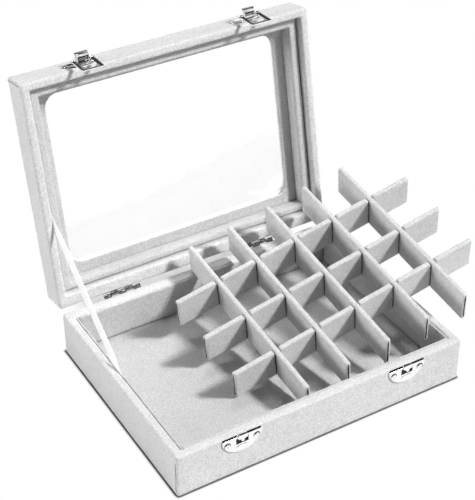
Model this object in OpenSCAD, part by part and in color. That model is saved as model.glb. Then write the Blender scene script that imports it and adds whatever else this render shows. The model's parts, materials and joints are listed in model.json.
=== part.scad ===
// Jewelry display case: a padded tray, a hinged lid with a glass window held
// by a ribbon stay, two draw latches, and a loose divider insert of half-lapped
// boards that leans in the tray. Millimetres. The origin is the centre of the
// tray's underside, +X to the right, +Y to the back, +Z up.

/* [Case] */
// Width of the case
case_w = 200; // [180:1:230]
// Depth of the case, front to back
case_d = 150; // [136:1:170]
// Height of the tray, from the table to its rim
tray_h = 30.5; // [29:0.5:36]
// Height of the lid, from its rim to its top
lid_h = 21.5; // [20.5:0.5:30]
// Thickness of the front and side walls
wall_t = 5.6; // [5:0.1:7]
// Thickness of the back walls, which carry the hinges
back_t = 8; // [7:0.1:9]
// Radius of the padded rims
rim_r = 1.6; // [1:0.1:2]
// Radius of the outer corners
corner_r = 1.5; // [0.8:0.1:2.2]
// Radius along the tray's lower edge
foot_r = 1.2; // [0.6:0.1:2]
// Radius along the lid's top edge
crown_r = 2.5; // [1.5:0.1:3]
// Gap between the rims when the lid is closed
rim_gap = 1; // [0.9:0.05:1.3]
// Angle of the open lid, from closed
open_angle = 101.2; // [95:0.1:106]

/* [Tray inside] */
// Thickness of the base cover sheet
cover_t = 0.6; // [0.4:0.1:1]
// Thickness of the base board
base_t = 3; // [2:0.1:3.6]
// Thickness of the floor pad
pad_t = 2.4; // [1.5:0.1:3]
// Thickness of the liner boards
liner_t = 1.6; // [1.2:0.1:2.2]
// Depth of the liners' tops below the rim
liner_drop = 0.4; // [0.2:0.1:1]

/* [Lid inside] */
// Depth of the inner frame below the lid's rim
inner_drop = 5; // [4.5:0.1:6]
// Groove between the rails and the inner frame
groove = 0.5; // [0.4:0.1:0.8]
// Thickness of the inner frame at the front and sides
inner_t = 6; // [5:0.1:7]
// Thickness of the inner frame at the back
inner_back_t = 4.5; // [4:0.1:6]
// Thickness of the window panel
panel_t = 1.5; // [1:0.1:2]
// Thickness of the glass
glass_t = 2; // [1.5:0.1:2.5]
// Thickness of the top frame
top_t = 3; // [2.5:0.1:3.5]
// Width of panel that shows beside the window
reveal_side = 6.4; // [4:0.1:10]
// Width of panel that shows in front of the window
reveal_front = 3.9; // [3:0.1:8]
// Width of panel that shows behind the window
reveal_back = 7; // [4:0.1:10]
// Radius of the window's corners
window_r = 9; // [4:0.5:14]
// Play of the glass round its edge
glass_play = 0.3; // [0.1:0.1:0.5]

/* [Hinges] */
// Length of a hinge
hinge_len = 26; // [22:1:32]
// Distance of the left hinge's centre from the middle
hinge_left = 57; // [45:1:62]
// Distance of the right hinge's centre from the middle
hinge_right = 44; // [36:1:62]
// Width of a leaf, from its free edge to the pin
leaf_w = 6.6; // [6:0.1:7.6]
// Thickness of a leaf
leaf_t = 0.45; // [0.3:0.05:0.45]
// Radius of the knuckles
knuckle_r = 1.3; // [1.1:0.1:1.4]
// Number of knuckles, an odd number
knuckle_count = 5; // [3, 5, 7]
// Distance of the hinge pin behind the case
pin_back = 1.2; // [1.2:0.1:1.6]
// Radius of the hinge pin
pin_r = 0.6; // [0.4:0.1:0.7]

/* [Latches] */
// Distance of each latch from the middle
latch_x = 58; // [40:1:70]
// Width of a latch base
base_w = 25; // [22:0.5:28]
// Height of a latch base
base_h = 11; // [9.5:0.5:12]
// Distance of a latch base from the lid's rim
base_up = 1.2; // [1:0.1:2]
// Thickness of the latch plates
plate_t = 0.8; // [0.6:0.1:0.9]
// Width of a lever
lever_w = 8.6; // [8:0.1:9]
// Length of a lever beyond its pin
lever_len = 7; // [6.5:0.1:7.4]
// Thickness of the lever's sheet
lever_t = 0.7; // [0.5:0.05:0.8]
// Width of a bail
bail_w = 14.4; // [14:0.1:15]
// Thickness of a bail
bail_t = 0.8; // [0.7:0.05:0.9]
// Radius of the round opening in a bail
bail_hole_r = 4.8; // [4.4:0.1:5]
// Lean of a bail towards the lid's front, in degrees
bail_lean = 8; // [7:0.5:9]
// Width of a catch plate
catch_w = 26; // [22:0.5:28]
// Height of a catch plate
catch_h = 11.7; // [10:0.1:12]
// Distance of a catch plate below the tray's rim
catch_down = 2.2; // [1.8:0.1:2.6]
// Width of a catch hook at its root
hook_w = 6.4; // [5.6:0.1:6.6]
// Width of a catch hook at its tip
hook_tip_w = 3.6; // [3:0.1:4]
// Height that a catch hook stands out from the tray
hook_out = 1.9; // [1.7:0.05:1.9]

/* [Ribbon stay] */
// Width of the ribbon
ribbon_w = 5; // [4:0.1:6]
// Thickness of the ribbon
ribbon_t = 0.3; // [0.2:0.05:0.35]
// Distance of the ribbon's lower end behind the middle
ribbon_tray_y = 7.2; // [-10:0.1:20]
// Distance of the ribbon's upper end from the lid's back
ribbon_lid_s = 63.3; // [50:0.1:75]
// Length of each glued ribbon end
ribbon_tail = 9; // [6:0.5:10]

/* [Divider insert] */
// Height of the boards
insert_h = 24; // [18:0.5:25]
// Thickness of the boards
slat_t = 3.4; // [2.6:0.1:4]
// Radius of the boards' long edges
slat_r = 1.2; // [0.6:0.1:1.2]
// Spacing of the front-to-back boards
pitch_x = 29.6; // [27:0.1:31]
// Spacing of the cross boards
pitch_y = 32.8; // [30:0.1:35]
// Play of the cross boards between the side liners
play_x = 5.6; // [3:0.1:7]
// Play of the front-to-back boards between the end liners
play_y = 0.7; // [0.5:0.1:2]
// Clearance on each side of a half-lap slot
slot_play = 0.15; // [0.1:0.05:0.25]
// Radius of the cross boards' tops beside each slot
slot_r = 2.6; // [1:0.1:4]
// Distance of the leaning insert's middle from the case's right side
lean_right = 45.7; // [42:0.1:49]
// Distance of the leaning insert's middle from the case's back
lean_back = 67.6; // [66:0.1:69]
// Turn of the leaning insert, in degrees
lean_yaw = 0.63; // [0:0.01:1.5]
// Air under the leaning insert where it bears
lean_gap = 0.45; // [0.35:0.05:0.6]

/* [Nails] */
// Radius of a nail's shank
nail_r = 0.5; // [0.4:0.05:0.6]
// Radius of a nail's head
nail_head_r = 1.4; // [1.2:0.1:1.5]
// Height of a nail's domed head
nail_head_h = 0.5; // [0.3:0.05:0.6]
// Length of a nail in the wood
nail_len = 3.5; // [2.5:0.1:4]

/* [Hidden] */
$fn = 48;
// Length by which a cut runs past what it cuts
cut_over = 1;
// Clearance of pins and nails in their holes
hole_play = 0.05;
// Clearance between moving sheets
run_play = 0.3;
// Clearance between neighbouring knuckles
knuckle_play = 0.2;

half_w = case_w / 2;
half_d = case_d / 2;
inside_w = case_w - 2 * wall_t;
inside_d = case_d - wall_t - back_t;
// Middle of the inside, because the back wall is thicker than the front wall
inside_y = (wall_t - back_t) / 2;
floor_z = cover_t + base_t + pad_t;
liner_top = tray_h - liner_drop;
liner_h = liner_top - floor_z;

lid_z = tray_h + rim_gap;
hinge_y = half_d + pin_back;
hinge_z = tray_h + rim_gap / 2;
panel_up = lid_h - top_t - glass_t - panel_t;
inner_h = panel_up - inner_drop;
inner_frame_w = inside_w - 2 * groove;
inner_frame_d = inside_d - 2 * groove;
window_w = inner_frame_w - 2 * (inner_t + reveal_side);
window_front = -half_d + wall_t + groove + inner_t + reveal_front;
window_back = half_d - back_t - groove - inner_back_t - reveal_back;
window_d = window_back - window_front;
window_y = (window_back + window_front) / 2;

hinge_xs = [-hinge_left, hinge_right];
knuckle_len = hinge_len / knuckle_count;
hinge_nail_x = hinge_len / 3;
// Nails go through the leaf where it lies on the flat of the rim
hinge_nail_y = half_d - back_t / 2;
hinge_nail_head_r = 2 * nail_r;

// Latch places are pairs: distance up from the lid's rim, distance out from the lid's face
lever_pin_r = 0.6;
lever_eye_r = 1.1;
// Air between a lever's eyes and its base
eye_play = 0.1;
lever_pin_up = base_up + 2 * (lever_eye_r + eye_play);
lever_pin_out = plate_t + lever_eye_r + eye_play;
// The bail's pin moves round the lever's pin on this crank
crank_r = 3;
crank_lean = 30;
bail_pin_up = lever_pin_up - crank_r * sin(crank_lean);
bail_pin_out = lever_pin_out + crank_r * cos(crank_lean);
// The lever's hood, seen from the side: how far it reaches below and above its pin
lever_below = crank_r;
lever_above = 0.75 * lever_eye_r;
lever_chin = 1.6;
ear_t = 0.7;
ear_r = 1.15;
// Air between a base's ears and the lever's cheeks
ear_play = 0.15;
ear_x = lever_w / 2 - lever_t - ear_play;
lever_pin_len = lever_w + 4 * hole_play;
bail_pin_len = bail_w + 4 * hole_play;
bail_gap_w = lever_w + 2 * run_play;
bail_arm_w = (bail_w - bail_gap_w) / 2;
// Height above the rim line at which the bail's opening has its centre
bail_hole_up = -6.6;
bail_hole_at = (bail_pin_up - bail_hole_up) / cos(bail_lean);
bail_bar = 2;
bail_len = bail_hole_at + bail_hole_r + bail_bar;
bail_corner_r = 0.8;
latch_nail_x = 0.72 * base_w / 2;

catch_top = tray_h - catch_down;
catch_bottom = catch_top - catch_h;
catch_end_h = 0.22 * catch_h;
// Arc through the plate's bottom and both ends
catch_arc_h = catch_h - catch_end_h;
catch_arc_r = (pow(catch_w / 2, 2) + pow(catch_arc_h, 2)) / (2 * catch_arc_h);
catch_nail_x = 0.75 * catch_w / 2;
catch_nail_z = catch_top - 0.37 * catch_h;
hook_root_h = 2.8;
hook_top = catch_top + hook_root_h / 2;
hook_tip_down = 5;
hook_tip_z = hook_top - hook_tip_down;
hook_t = plate_t;

ribbon_x = -half_w + wall_t + ribbon_t / 2;
ribbon_low = [ribbon_tray_y, liner_top];
// The ribbon's upper end, in the closed lid and then turned with it
ribbon_closed = [half_d - ribbon_lid_s - hinge_y, lid_z + inner_drop - hinge_z];
ribbon_high = [
    hinge_y + ribbon_closed[0] * cos(open_angle) + ribbon_closed[1] * sin(open_angle),
    hinge_z - ribbon_closed[0] * sin(open_angle) + ribbon_closed[1] * cos(open_angle)
];
ribbon_run = ribbon_high - ribbon_low;
ribbon_len = norm(ribbon_run);
ribbon_angle = atan2(ribbon_run[1], ribbon_run[0]);

insert_w = inside_w - 2 * liner_t - play_x;
insert_d = inside_d - 2 * liner_t - play_y;
slat_count = 5;
cross_count = 3;
slot_w = slat_t + 2 * slot_play;

// The insert bears on the back liner, on the right liner and, at its front
// left corner, on the floor. Its underside is the plane through the three.
lean_x = half_w - lean_right;
lean_y = half_d - lean_back;
// Plan length of a tilted board as a share of its own length
plan_share = 0.984;
first_slat = -(slat_count - 1) / 2 * pitch_x * plan_share;
first_cross = -(cross_count - 1) / 2 * pitch_y * plan_share;
back_seat = [lean_x + first_slat - slat_t / 2, half_d - back_t - liner_t];
right_seat = [half_w - wall_t - liner_t, lean_y + first_cross - slat_t / 2];
floor_seat = [lean_x + first_slat - slat_t / 2, lean_y - insert_d / 2 * plan_share];
seat_rise = liner_top - floor_z;
back_run = back_seat - floor_seat;
right_run = right_seat - floor_seat;
lean_det = back_run[0] * right_run[1] - back_run[1] * right_run[0];
slope_x = seat_rise * (right_run[1] - back_run[1]) / lean_det;
slope_y = seat_rise * (back_run[0] - right_run[0]) / lean_det;
lean_z = floor_z + lean_gap + slope_x * (lean_x - floor_seat[0]) + slope_y * (lean_y - floor_seat[1]);
lean_turn = [asin(slope_y / norm([slope_x, slope_y, 1])), -atan(slope_x), 0];

velvet = "gainsboro";
velvet_inside = "lightgray";
metal = "silver";

// Outlines

// The waste outside a rounded edge of a body that lies in +X +Y
module edge_waste(r) {
    difference() {
        translate([-cut_over, -cut_over]) square(r + cut_over);
        translate([r, r]) circle(r);
    }
}

// Section of a padded wall: x runs inwards from the outer face, y runs up
module wall_section(t, h, r_rim, r_foot) {
    difference() {
        square([t, h]);
        edge_waste(r_foot);
        translate([0, h]) mirror([0, 1]) edge_waste(r_rim);
        translate([t, h]) rotate(180) edge_waste(r_rim);
    }
}

// Rectangle with round corners, about its middle
module round_rect(w, d, r) {
    square([w - 2 * r, d], center = true);
    square([w, d - 2 * r], center = true);
    for (sx = [-1, 1], sy = [-1, 1])
        translate([sx * (w / 2 - r), sy * (d / 2 - r)]) circle(r);
}

// Plan of one side of a frame w by d: mitred at 45 degrees from its corners,
// t thick at the front and sides and t_back thick at the back
module side_plan(side, w, d, t, t_back) {
    x = w / 2;
    y = d / 2;
    m = min(t, t_back);
    if (side == "front")
        polygon([[-x, -y], [x, -y], [x - t, t - y], [t - x, t - y]]);
    if (side == "back")
        polygon(concat(
            [[x, y], [-x, y], [m - x, y - m]],
            t_back > t ? [[m - x, y - t_back], [x - m, y - t_back]] : [],
            [[x - m, y - m]]
        ));
    if (side == "right")
        polygon(concat(
            [[x, -y], [x, y], [x - m, y - m]],
            t > t_back ? [[x - t, y - m]] : [],
            [[x - t, t - y]]
        ));
    if (side == "left")
        mirror([1, 0]) side_plan("right", w, d, t, t_back);
}

// A profile run along the front of a frame of depth d
module front_run(len, d) {
    translate([0, -d / 2, 0]) rotate([90, 0, 90]) linear_extrude(len, center = true) children();
}

// One padded side of a frame that stands on z = 0 with its rim up
module frame_side(side, w, d, h, t, t_back, r_corner, r_foot) {
    turned = side == "left" || side == "right";
    turn = side == "front" ? 0 : side == "right" ? 90 : side == "back" ? 180 : -90;
    intersection() {
        linear_extrude(h) intersection() {
            side_plan(side, w, d, t, t_back);
            round_rect(w, d, r_corner);
        }
        rotate(turn) front_run(turned ? d : w, turned ? w : d)
            wall_section(side == "back" ? t_back : t, h, rim_r, r_foot);
    }
}

// A profile seen from the side, drawn as (up, out), made as wide as told
module side_cut(width) {
    rotate([90, 0, 0]) rotate([90, 0, 90]) linear_extrude(width, center = true) children();
}

// A round bar or bore along X
module bar_x(r, len) {
    rotate([0, 90, 0]) cylinder(r = r, h = len, center = true);
}

// A nail along +Z: its head's underside is at the origin
module nail(head_r, head_h, through) {
    translate([0, 0, -through - nail_len]) cylinder(r = nail_r, h = through + nail_len, $fn = 24);
    dome_r = (pow(head_r, 2) + pow(head_h, 2)) / (2 * head_h);
    intersection() {
        cylinder(r = head_r, h = head_h, $fn = 24);
        translate([0, 0, head_h - dome_r]) sphere(dome_r, $fn = 48);
    }
}

// Places

// Turns what is drawn in the closed lid to the open lid
module open_lid() {
    translate([0, hinge_y, hinge_z]) rotate([-open_angle, 0, 0]) translate([0, -hinge_y, -hinge_z]) children();
}

// Turns a lid part drawn with its rim on z = 0, pointing down, to the open lid
module on_lid() {
    open_lid() translate([0, 0, lid_z]) children();
}

// From the underside of a face that looks up, to the lid's rim, which looks down
module rim_down(h) {
    translate([0, 0, h]) mirror([0, 0, 1]) children();
}

// A latch part's place, drawn as x, then out from the face, then up from the rim
module at_latch(x, up, out) {
    on_lid() translate([x, -half_d - out, up]) children();
}

// The leaning insert
module lean_insert() {
    translate([lean_x, lean_y, lean_z]) rotate(lean_turn) rotate(lean_yaw) children();
}

// Tray

module tray_side(side) {
    frame_side(side, case_w, case_d, tray_h, wall_t, back_t, corner_r, foot_r);
}

module tray_front_wall() {
    color(velvet) difference() {
        tray_side("front");
        for (sx = [-1, 1], sn = [-1, 1])
            translate([sx * latch_x + sn * catch_nail_x, -half_d - cut_over, catch_nail_z])
                rotate([-90, 0, 0]) cylinder(r = nail_r + hole_play, h = nail_len + hole_play + cut_over, $fn = 24);
    }
}

module tray_back_wall() {
    color(velvet) difference() {
        tray_side("back");
        for (x = hinge_xs, sn = [-1, 1])
            translate([x + sn * hinge_nail_x, hinge_nail_y, tray_h - nail_len - hole_play])
                cylinder(r = nail_r + hole_play, h = nail_len + hole_play + cut_over, $fn = 24);
    }
}

module tray_left_wall() { color(velvet) tray_side("left"); }

module tray_right_wall() { color(velvet) tray_side("right"); }

// A flat sheet that fills the tray's inside
module inside_sheet(z, t) {
    translate([0, inside_y, z]) linear_extrude(t) square([inside_w, inside_d], center = true);
}

module base_board() { color("burlywood") inside_sheet(cover_t, base_t); }

module base_cover() { color("darkgray") inside_sheet(0, cover_t); }

module floor_pad() { color(velvet_inside) inside_sheet(cover_t + base_t, pad_t); }

// Section of a liner board, with a round top edge
module liner_section() {
    round_top = liner_t / 2;
    square([liner_t, liner_h - round_top]);
    translate([round_top, liner_h - round_top]) circle(round_top);
}

// A liner board along X, its outer face on the inside face at distance d / 2 in front
module liner_run(len, d) {
    translate([0, 0, floor_z]) front_run(len, d) liner_section();
}

module liner_front() {
    color(velvet_inside) translate([0, inside_y, 0]) liner_run(inside_w - 2 * liner_t, inside_d);
}

module liner_back() {
    color(velvet_inside) translate([0, inside_y, 0]) rotate(180) liner_run(inside_w - 2 * liner_t, inside_d);
}

module liner_right() {
    color(velvet_inside) translate([0, inside_y, 0]) rotate(90) liner_run(inside_d, inside_w);
}

// The left liner has a shallow pocket behind it for the ribbon's glued end
module liner_left() {
    color(velvet_inside) difference() {
        translate([0, inside_y, 0]) rotate(-90) liner_run(inside_d, inside_w);
        ribbon_piece(-ribbon_tail - run_play, ribbon_w, ribbon_w + 2 * run_play, 2 * hole_play);
    }
}

// Catches

// Outline of a catch plate: flat on top, an arc below, short upright ends
module catch_outline() {
    intersection() {
        translate([-catch_w / 2, catch_bottom]) square([catch_w, catch_h]);
        translate([0, catch_bottom + catch_arc_r]) circle(catch_arc_r, $fn = 96);
    }
}

// The catch hook: a raised root and a narrower tongue that points down
module catch_hook() {
    tip_r = hook_tip_w / 2;
    translate([0, -half_d, 0]) rotate([90, 0, 0]) {
        linear_extrude(hook_out) translate([0, hook_top - hook_root_h / 2])
            round_rect(hook_w, hook_root_h, bail_corner_r);
        translate([0, 0, hook_out - hook_t]) linear_extrude(hook_t) {
            translate([-tip_r, hook_tip_z + tip_r])
                square([hook_tip_w, hook_tip_down - tip_r - hook_root_h / 2]);
            translate([0, hook_tip_z + tip_r]) circle(tip_r);
        }
    }
}

module catch_plates() {
    color(metal) for (sx = [-1, 1]) translate([sx * latch_x, 0, 0]) {
        difference() {
            translate([0, -half_d, 0]) rotate([90, 0, 0]) linear_extrude(plate_t) catch_outline();
            for (sn = [-1, 1])
                translate([sn * catch_nail_x, -half_d + cut_over, catch_nail_z])
                    rotate([90, 0, 0]) cylinder(r = nail_r + hole_play, h = plate_t + 2 * cut_over, $fn = 24);
        }
        catch_hook();
    }
}

module catch_nails() {
    color(metal) for (sx = [-1, 1], sn = [-1, 1])
        translate([sx * latch_x + sn * catch_nail_x, -half_d - plate_t, catch_nail_z])
            rotate([90, 0, 0]) nail(nail_head_r, nail_head_h, plate_t);
}

// Hinges

// One leaf with its knuckles, lying on z = 0 with its pin at z = rim_gap / 2.
// first is 0 for the leaf that has the end knuckles and 1 for the other.
module hinge_leaf(first) {
    axis_z = rim_gap / 2;
    mine = [for (i = [0 : knuckle_count - 1]) if (i % 2 == first) i];
    others = [for (i = [0 : knuckle_count - 1]) if (i % 2 != first) i];
    difference() {
        union() {
            translate([-hinge_len / 2, -leaf_w, 0]) cube([hinge_len, leaf_w, leaf_t]);
            for (i = mine)
                translate([(i + 1 / 2) * knuckle_len - hinge_len / 2, 0, axis_z])
                    bar_x(knuckle_r, knuckle_len - knuckle_play);
        }
        for (i = others)
            translate([(i + 1 / 2) * knuckle_len - hinge_len / 2, 0, axis_z])
                bar_x(knuckle_r + knuckle_play, knuckle_len + knuckle_play);
        for (i = mine)
            if (i > 0)
                translate([i * knuckle_len - hinge_len / 2, 0, axis_z])
                    bar_x(knuckle_r + knuckle_play, knuckle_play);
        translate([0, 0, axis_z]) bar_x(pin_r + hole_play, hinge_len + 2 * cut_over);
        for (sn = [-1, 1])
            translate([sn * hinge_nail_x, hinge_nail_y - hinge_y, -cut_over])
                cylinder(r = hinge_nail_head_r + hole_play, h = leaf_t + 2 * cut_over, $fn = 24);
    }
}

// The flush nails of one leaf, with their heads in the leaf
module hinge_nails() {
    for (sn = [-1, 1]) translate([sn * hinge_nail_x, hinge_nail_y - hinge_y, 0]) {
        cylinder(r = hinge_nail_head_r, h = leaf_t, $fn = 24);
        translate([0, 0, -nail_len]) cylinder(r = nail_r, h = nail_len, $fn = 24);
    }
}

module hinge_tray_leaves() {
    color(metal) for (x = hinge_xs) translate([x, hinge_y, tray_h]) hinge_leaf(0);
}

module hinge_lid_leaves() {
    color(metal) open_lid() for (x = hinge_xs)
        translate([x, hinge_y, lid_z]) mirror([0, 0, 1]) hinge_leaf(1);
}

module hinge_pins() {
    color(metal) for (x = hinge_xs) translate([x, hinge_y, hinge_z]) bar_x(pin_r, hinge_len);
}

module hinge_nails_tray() {
    color(metal) for (x = hinge_xs) translate([x, hinge_y, tray_h]) hinge_nails();
}

module hinge_nails_lid() {
    color(metal) open_lid() for (x = hinge_xs)
        translate([x, hinge_y, lid_z]) mirror([0, 0, 1]) hinge_nails();
}

// Ribbon stay

// A stretch of the ribbon's straight line: from and to are distances along it
// from its lower end, and extra thickens it inwards
module ribbon_piece(from, to, w, extra) {
    translate([ribbon_x - ribbon_t / 2, ribbon_low[0], ribbon_low[1]]) rotate([ribbon_angle, 0, 0])
        translate([0, from, -w / 2]) cube([ribbon_t + extra, to - from, w]);
}

module stay_ribbon() { color("white") ribbon_piece(0, ribbon_len, ribbon_w, 0); }

module stay_tab_tray() { color("white") ribbon_piece(-ribbon_tail, 0, ribbon_w, 0); }

module stay_tab_lid() { color("white") ribbon_piece(ribbon_len, ribbon_len + ribbon_tail, ribbon_w, 0); }

// Lid

module lid_side(side) {
    on_lid() rim_down(lid_h) frame_side(side, case_w, case_d, lid_h, wall_t, back_t, corner_r, crown_r);
}

module lid_front_rail() {
    color(velvet) difference() {
        lid_side("front");
        for (sx = [-1, 1], sn = [-1, 1])
            at_latch(sx * latch_x + sn * latch_nail_x, base_up + base_h / 2, cut_over)
                rotate([-90, 0, 0]) cylinder(r = nail_r + hole_play, h = nail_len + hole_play + cut_over, $fn = 24);
    }
}

module lid_back_rail() {
    color(velvet) difference() {
        lid_side("back");
        for (x = hinge_xs, sn = [-1, 1])
            on_lid() translate([x + sn * hinge_nail_x, hinge_nail_y, -cut_over])
                cylinder(r = nail_r + hole_play, h = nail_len + hole_play + cut_over, $fn = 24);
    }
}

module lid_left_rail() { color(velvet) lid_side("left"); }

module lid_right_rail() { color(velvet) lid_side("right"); }

// A flat ring inside the rails round the window, from height z
module window_ring(z, t) {
    on_lid() translate([0, 0, z]) linear_extrude(t) difference() {
        translate([0, inside_y]) square([inside_w, inside_d], center = true);
        translate([0, window_y]) round_rect(window_w, window_d, window_r);
    }
}

module lid_top_frame() { color(velvet) window_ring(lid_h - top_t, top_t); }

module window_panel() { color(velvet_inside) window_ring(panel_up, panel_t); }

module glass_pane() {
    color("lightcyan", 0.35) on_lid() translate([0, inside_y, panel_up + panel_t]) linear_extrude(glass_t)
        square([inside_w - 2 * glass_play, inside_d - 2 * glass_play], center = true);
}

module inner_side(side) {
    color(velvet_inside) on_lid() translate([0, inside_y, panel_up - inner_h]) rim_down(inner_h)
        frame_side(side, inner_frame_w, inner_frame_d, inner_h, inner_t, inner_back_t, slat_r, hole_play);
}

module lid_inner_front() { inner_side("front"); }

module lid_inner_back() { inner_side("back"); }

module lid_inner_left() { inner_side("left"); }

module lid_inner_right() { inner_side("right"); }

// Latches

// An eye-shaped plate with pointed ends, about its middle
module eye_outline(w, h) {
    r = (pow(w / 2, 2) + pow(h / 2, 2)) / h;
    intersection() {
        translate([0, r - h / 2]) circle(r, $fn = 96);
        translate([0, h / 2 - r]) circle(r, $fn = 96);
    }
}

// A base: the plate, and two ears between the lever's cheeks for its pin
module latch_base() {
    difference() {
        union() {
            translate([0, 0, base_up + base_h / 2]) rotate([90, 0, 0])
                linear_extrude(plate_t) eye_outline(base_w, base_h);
            for (sx = [-1, 1])
                translate([sx * (ear_x - ear_t / 2), 0, 0]) side_cut(ear_t) {
                    translate([lever_pin_up, lever_pin_out]) circle(ear_r);
                    translate([lever_pin_up - ear_r, 0]) square([2 * ear_r, lever_pin_out]);
                }
        }
        translate([0, -lever_pin_out, lever_pin_up]) bar_x(lever_pin_r + hole_play, lever_w);
        for (sn = [-1, 1])
            translate([sn * latch_nail_x, cut_over, base_up + base_h / 2])
                rotate([90, 0, 0]) cylinder(r = nail_r + hole_play, h = plate_t + 2 * cut_over, $fn = 24);
    }
}

module latch_bases() {
    color(metal) for (sx = [-1, 1]) at_latch(sx * latch_x, 0, 0) latch_base();
}

module latch_pins() {
    color(metal) for (sx = [-1, 1])
        at_latch(sx * latch_x, lever_pin_up, lever_pin_out) bar_x(lever_pin_r, lever_pin_len);
}

module latch_nails() {
    color(metal) for (sx = [-1, 1], sn = [-1, 1])
        at_latch(sx * latch_x + sn * latch_nail_x, base_up + base_h / 2, plate_t)
            rotate([90, 0, 0]) nail(nail_head_r, nail_head_h, plate_t);
}

// Side view of a lever's cheek, about its pin, as (up, out)
module lever_cheek() {
    circle(lever_eye_r);
    polygon([
        [lever_above, 0], [lever_above, lever_len],
        [-lever_below, lever_len], [-lever_below, lever_chin],
        [-lever_eye_r, 0]
    ]);
}

// A lever about its pin: two cheeks, a web towards the rim and a folded end
module lever() {
    difference() {
        union() {
            for (sx = [-1, 1])
                translate([sx * (lever_w - lever_t) / 2, 0, 0]) side_cut(lever_t) lever_cheek();
            side_cut(lever_w) {
                translate([-lever_below, lever_chin]) square([lever_t, lever_len - lever_chin]);
                translate([-lever_below, lever_len - lever_t]) square([lever_below + lever_above, lever_t]);
            }
        }
        bar_x(lever_pin_r + hole_play, lever_w + 2 * cut_over);
        translate([0, -(bail_pin_out - lever_pin_out), bail_pin_up - lever_pin_up])
            bar_x(lever_pin_r + hole_play, lever_w + 2 * cut_over);
    }
}

module left_lever() { color(metal) at_latch(-latch_x, lever_pin_up, lever_pin_out) lever(); }

module right_lever() { color(metal) at_latch(latch_x, lever_pin_up, lever_pin_out) lever(); }

module bail_pin(x) {
    color(metal) at_latch(x, bail_pin_up, bail_pin_out) bar_x(lever_pin_r, bail_pin_len);
}

module left_bail_pin() { bail_pin(-latch_x); }

module right_bail_pin() { bail_pin(latch_x); }

// A bail about its pin: a plate with a round opening that runs up between its
// two arms, and an eye round the pin on each arm
module bail() {
    arm_x = (bail_w - bail_arm_w) / 2;
    rotate([bail_lean - 90, 0, 0]) difference() {
        union() {
            translate([0, 0, -bail_t / 2]) linear_extrude(bail_t) difference() {
                translate([0, bail_len / 2]) round_rect(bail_w, bail_len, bail_corner_r);
                translate([0, bail_hole_at]) circle(bail_hole_r, $fn = 96);
                translate([-bail_gap_w / 2, -cut_over]) square([bail_gap_w, bail_hole_at + cut_over]);
            }
            for (sx = [-1, 1])
                translate([sx * arm_x, 0, 0]) bar_x(lever_eye_r, bail_arm_w);
        }
        bar_x(lever_pin_r + hole_play, bail_w + 2 * cut_over);
    }
}

module left_bail() { color(metal) at_latch(-latch_x, bail_pin_up, bail_pin_out) bail(); }

module right_bail() { color(metal) at_latch(latch_x, bail_pin_up, bail_pin_out) bail(); }

// Divider insert

// A board along X with soft long edges, standing on z = 0
module slat(len) {
    rotate([90, 0, 90]) linear_extrude(len, center = true)
        translate([0, insert_h / 2]) round_rect(slat_t, insert_h, slat_r);
}

// Front-to-back board number i, slotted from below
module divider_board(i) {
    color(velvet) lean_insert() translate([(i - (slat_count + 1) / 2) * pitch_x, 0, 0]) difference() {
        rotate(90) slat(insert_d);
        for (j = [0 : cross_count - 1])
            translate([-slat_t, (j - (cross_count - 1) / 2) * pitch_y - slot_w / 2, -cut_over])
                cube([2 * slat_t, slot_w, insert_h / 2 + cut_over]);
    }
}

// Outline of a slot that is open at the top and rounded at its mouth
module slot_outline() {
    translate([-slot_w / 2, insert_h / 2]) square([slot_w, insert_h / 2 + cut_over]);
    for (sx = [-1, 1]) scale([sx, 1])
        translate([slot_w / 2, insert_h]) mirror([0, 1]) edge_waste(slot_r);
}

// Cross board number j, counted from the back and slotted from above
module cross_board(j) {
    color(velvet) lean_insert() translate([0, ((cross_count + 1) / 2 - j) * pitch_y, 0]) difference() {
        slat(insert_w);
        for (i = [0 : slat_count - 1])
            translate([(i - (slat_count - 1) / 2) * pitch_x, 0, 0])
                rotate([90, 0, 0]) linear_extrude(2 * slat_t, center = true) slot_outline();
    }
}

module divider_board_1() { divider_board(1); }

module divider_board_2() { divider_board(2); }

module divider_board_3() { divider_board(3); }

module divider_board_4() { divider_board(4); }

module divider_board_5() { divider_board(5); }

module cross_board_a() { cross_board(1); }

module cross_board_b() { cross_board(2); }

module cross_board_c() { cross_board(3); }

tray_front_wall();
tray_back_wall();
tray_left_wall();
tray_right_wall();
base_board();
base_cover();
floor_pad();
liner_front();
liner_back();
liner_left();
liner_right();
catch_plates();
catch_nails();
hinge_tray_leaves();
hinge_pins();
hinge_nails_tray();
stay_ribbon();
stay_tab_tray();
lid_front_rail();
lid_back_rail();
lid_left_rail();
lid_right_rail();
lid_top_frame();
lid_inner_front();
lid_inner_back();
lid_inner_left();
lid_inner_right();
window_panel();
glass_pane();
latch_bases();
latch_pins();
latch_nails();
hinge_lid_leaves();
hinge_nails_lid();
stay_tab_lid();
left_lever();
left_bail_pin();
left_bail();
right_lever();
right_bail_pin();
right_bail();
divider_board_1();
divider_board_2();
divider_board_3();
divider_board_4();
divider_board_5();
cross_board_a();
cross_board_b();
cross_board_c();
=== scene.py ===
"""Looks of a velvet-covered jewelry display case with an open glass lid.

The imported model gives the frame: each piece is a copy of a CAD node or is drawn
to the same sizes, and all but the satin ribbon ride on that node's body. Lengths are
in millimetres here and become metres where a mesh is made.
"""

from __future__ import annotations

import json
import logging
import math
from contextlib import contextmanager
from dataclasses import dataclass, field
from enum import Enum
from typing import Callable, Iterator, Sequence

import bmesh
import bpy
from mathutils import Matrix, Vector

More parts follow.
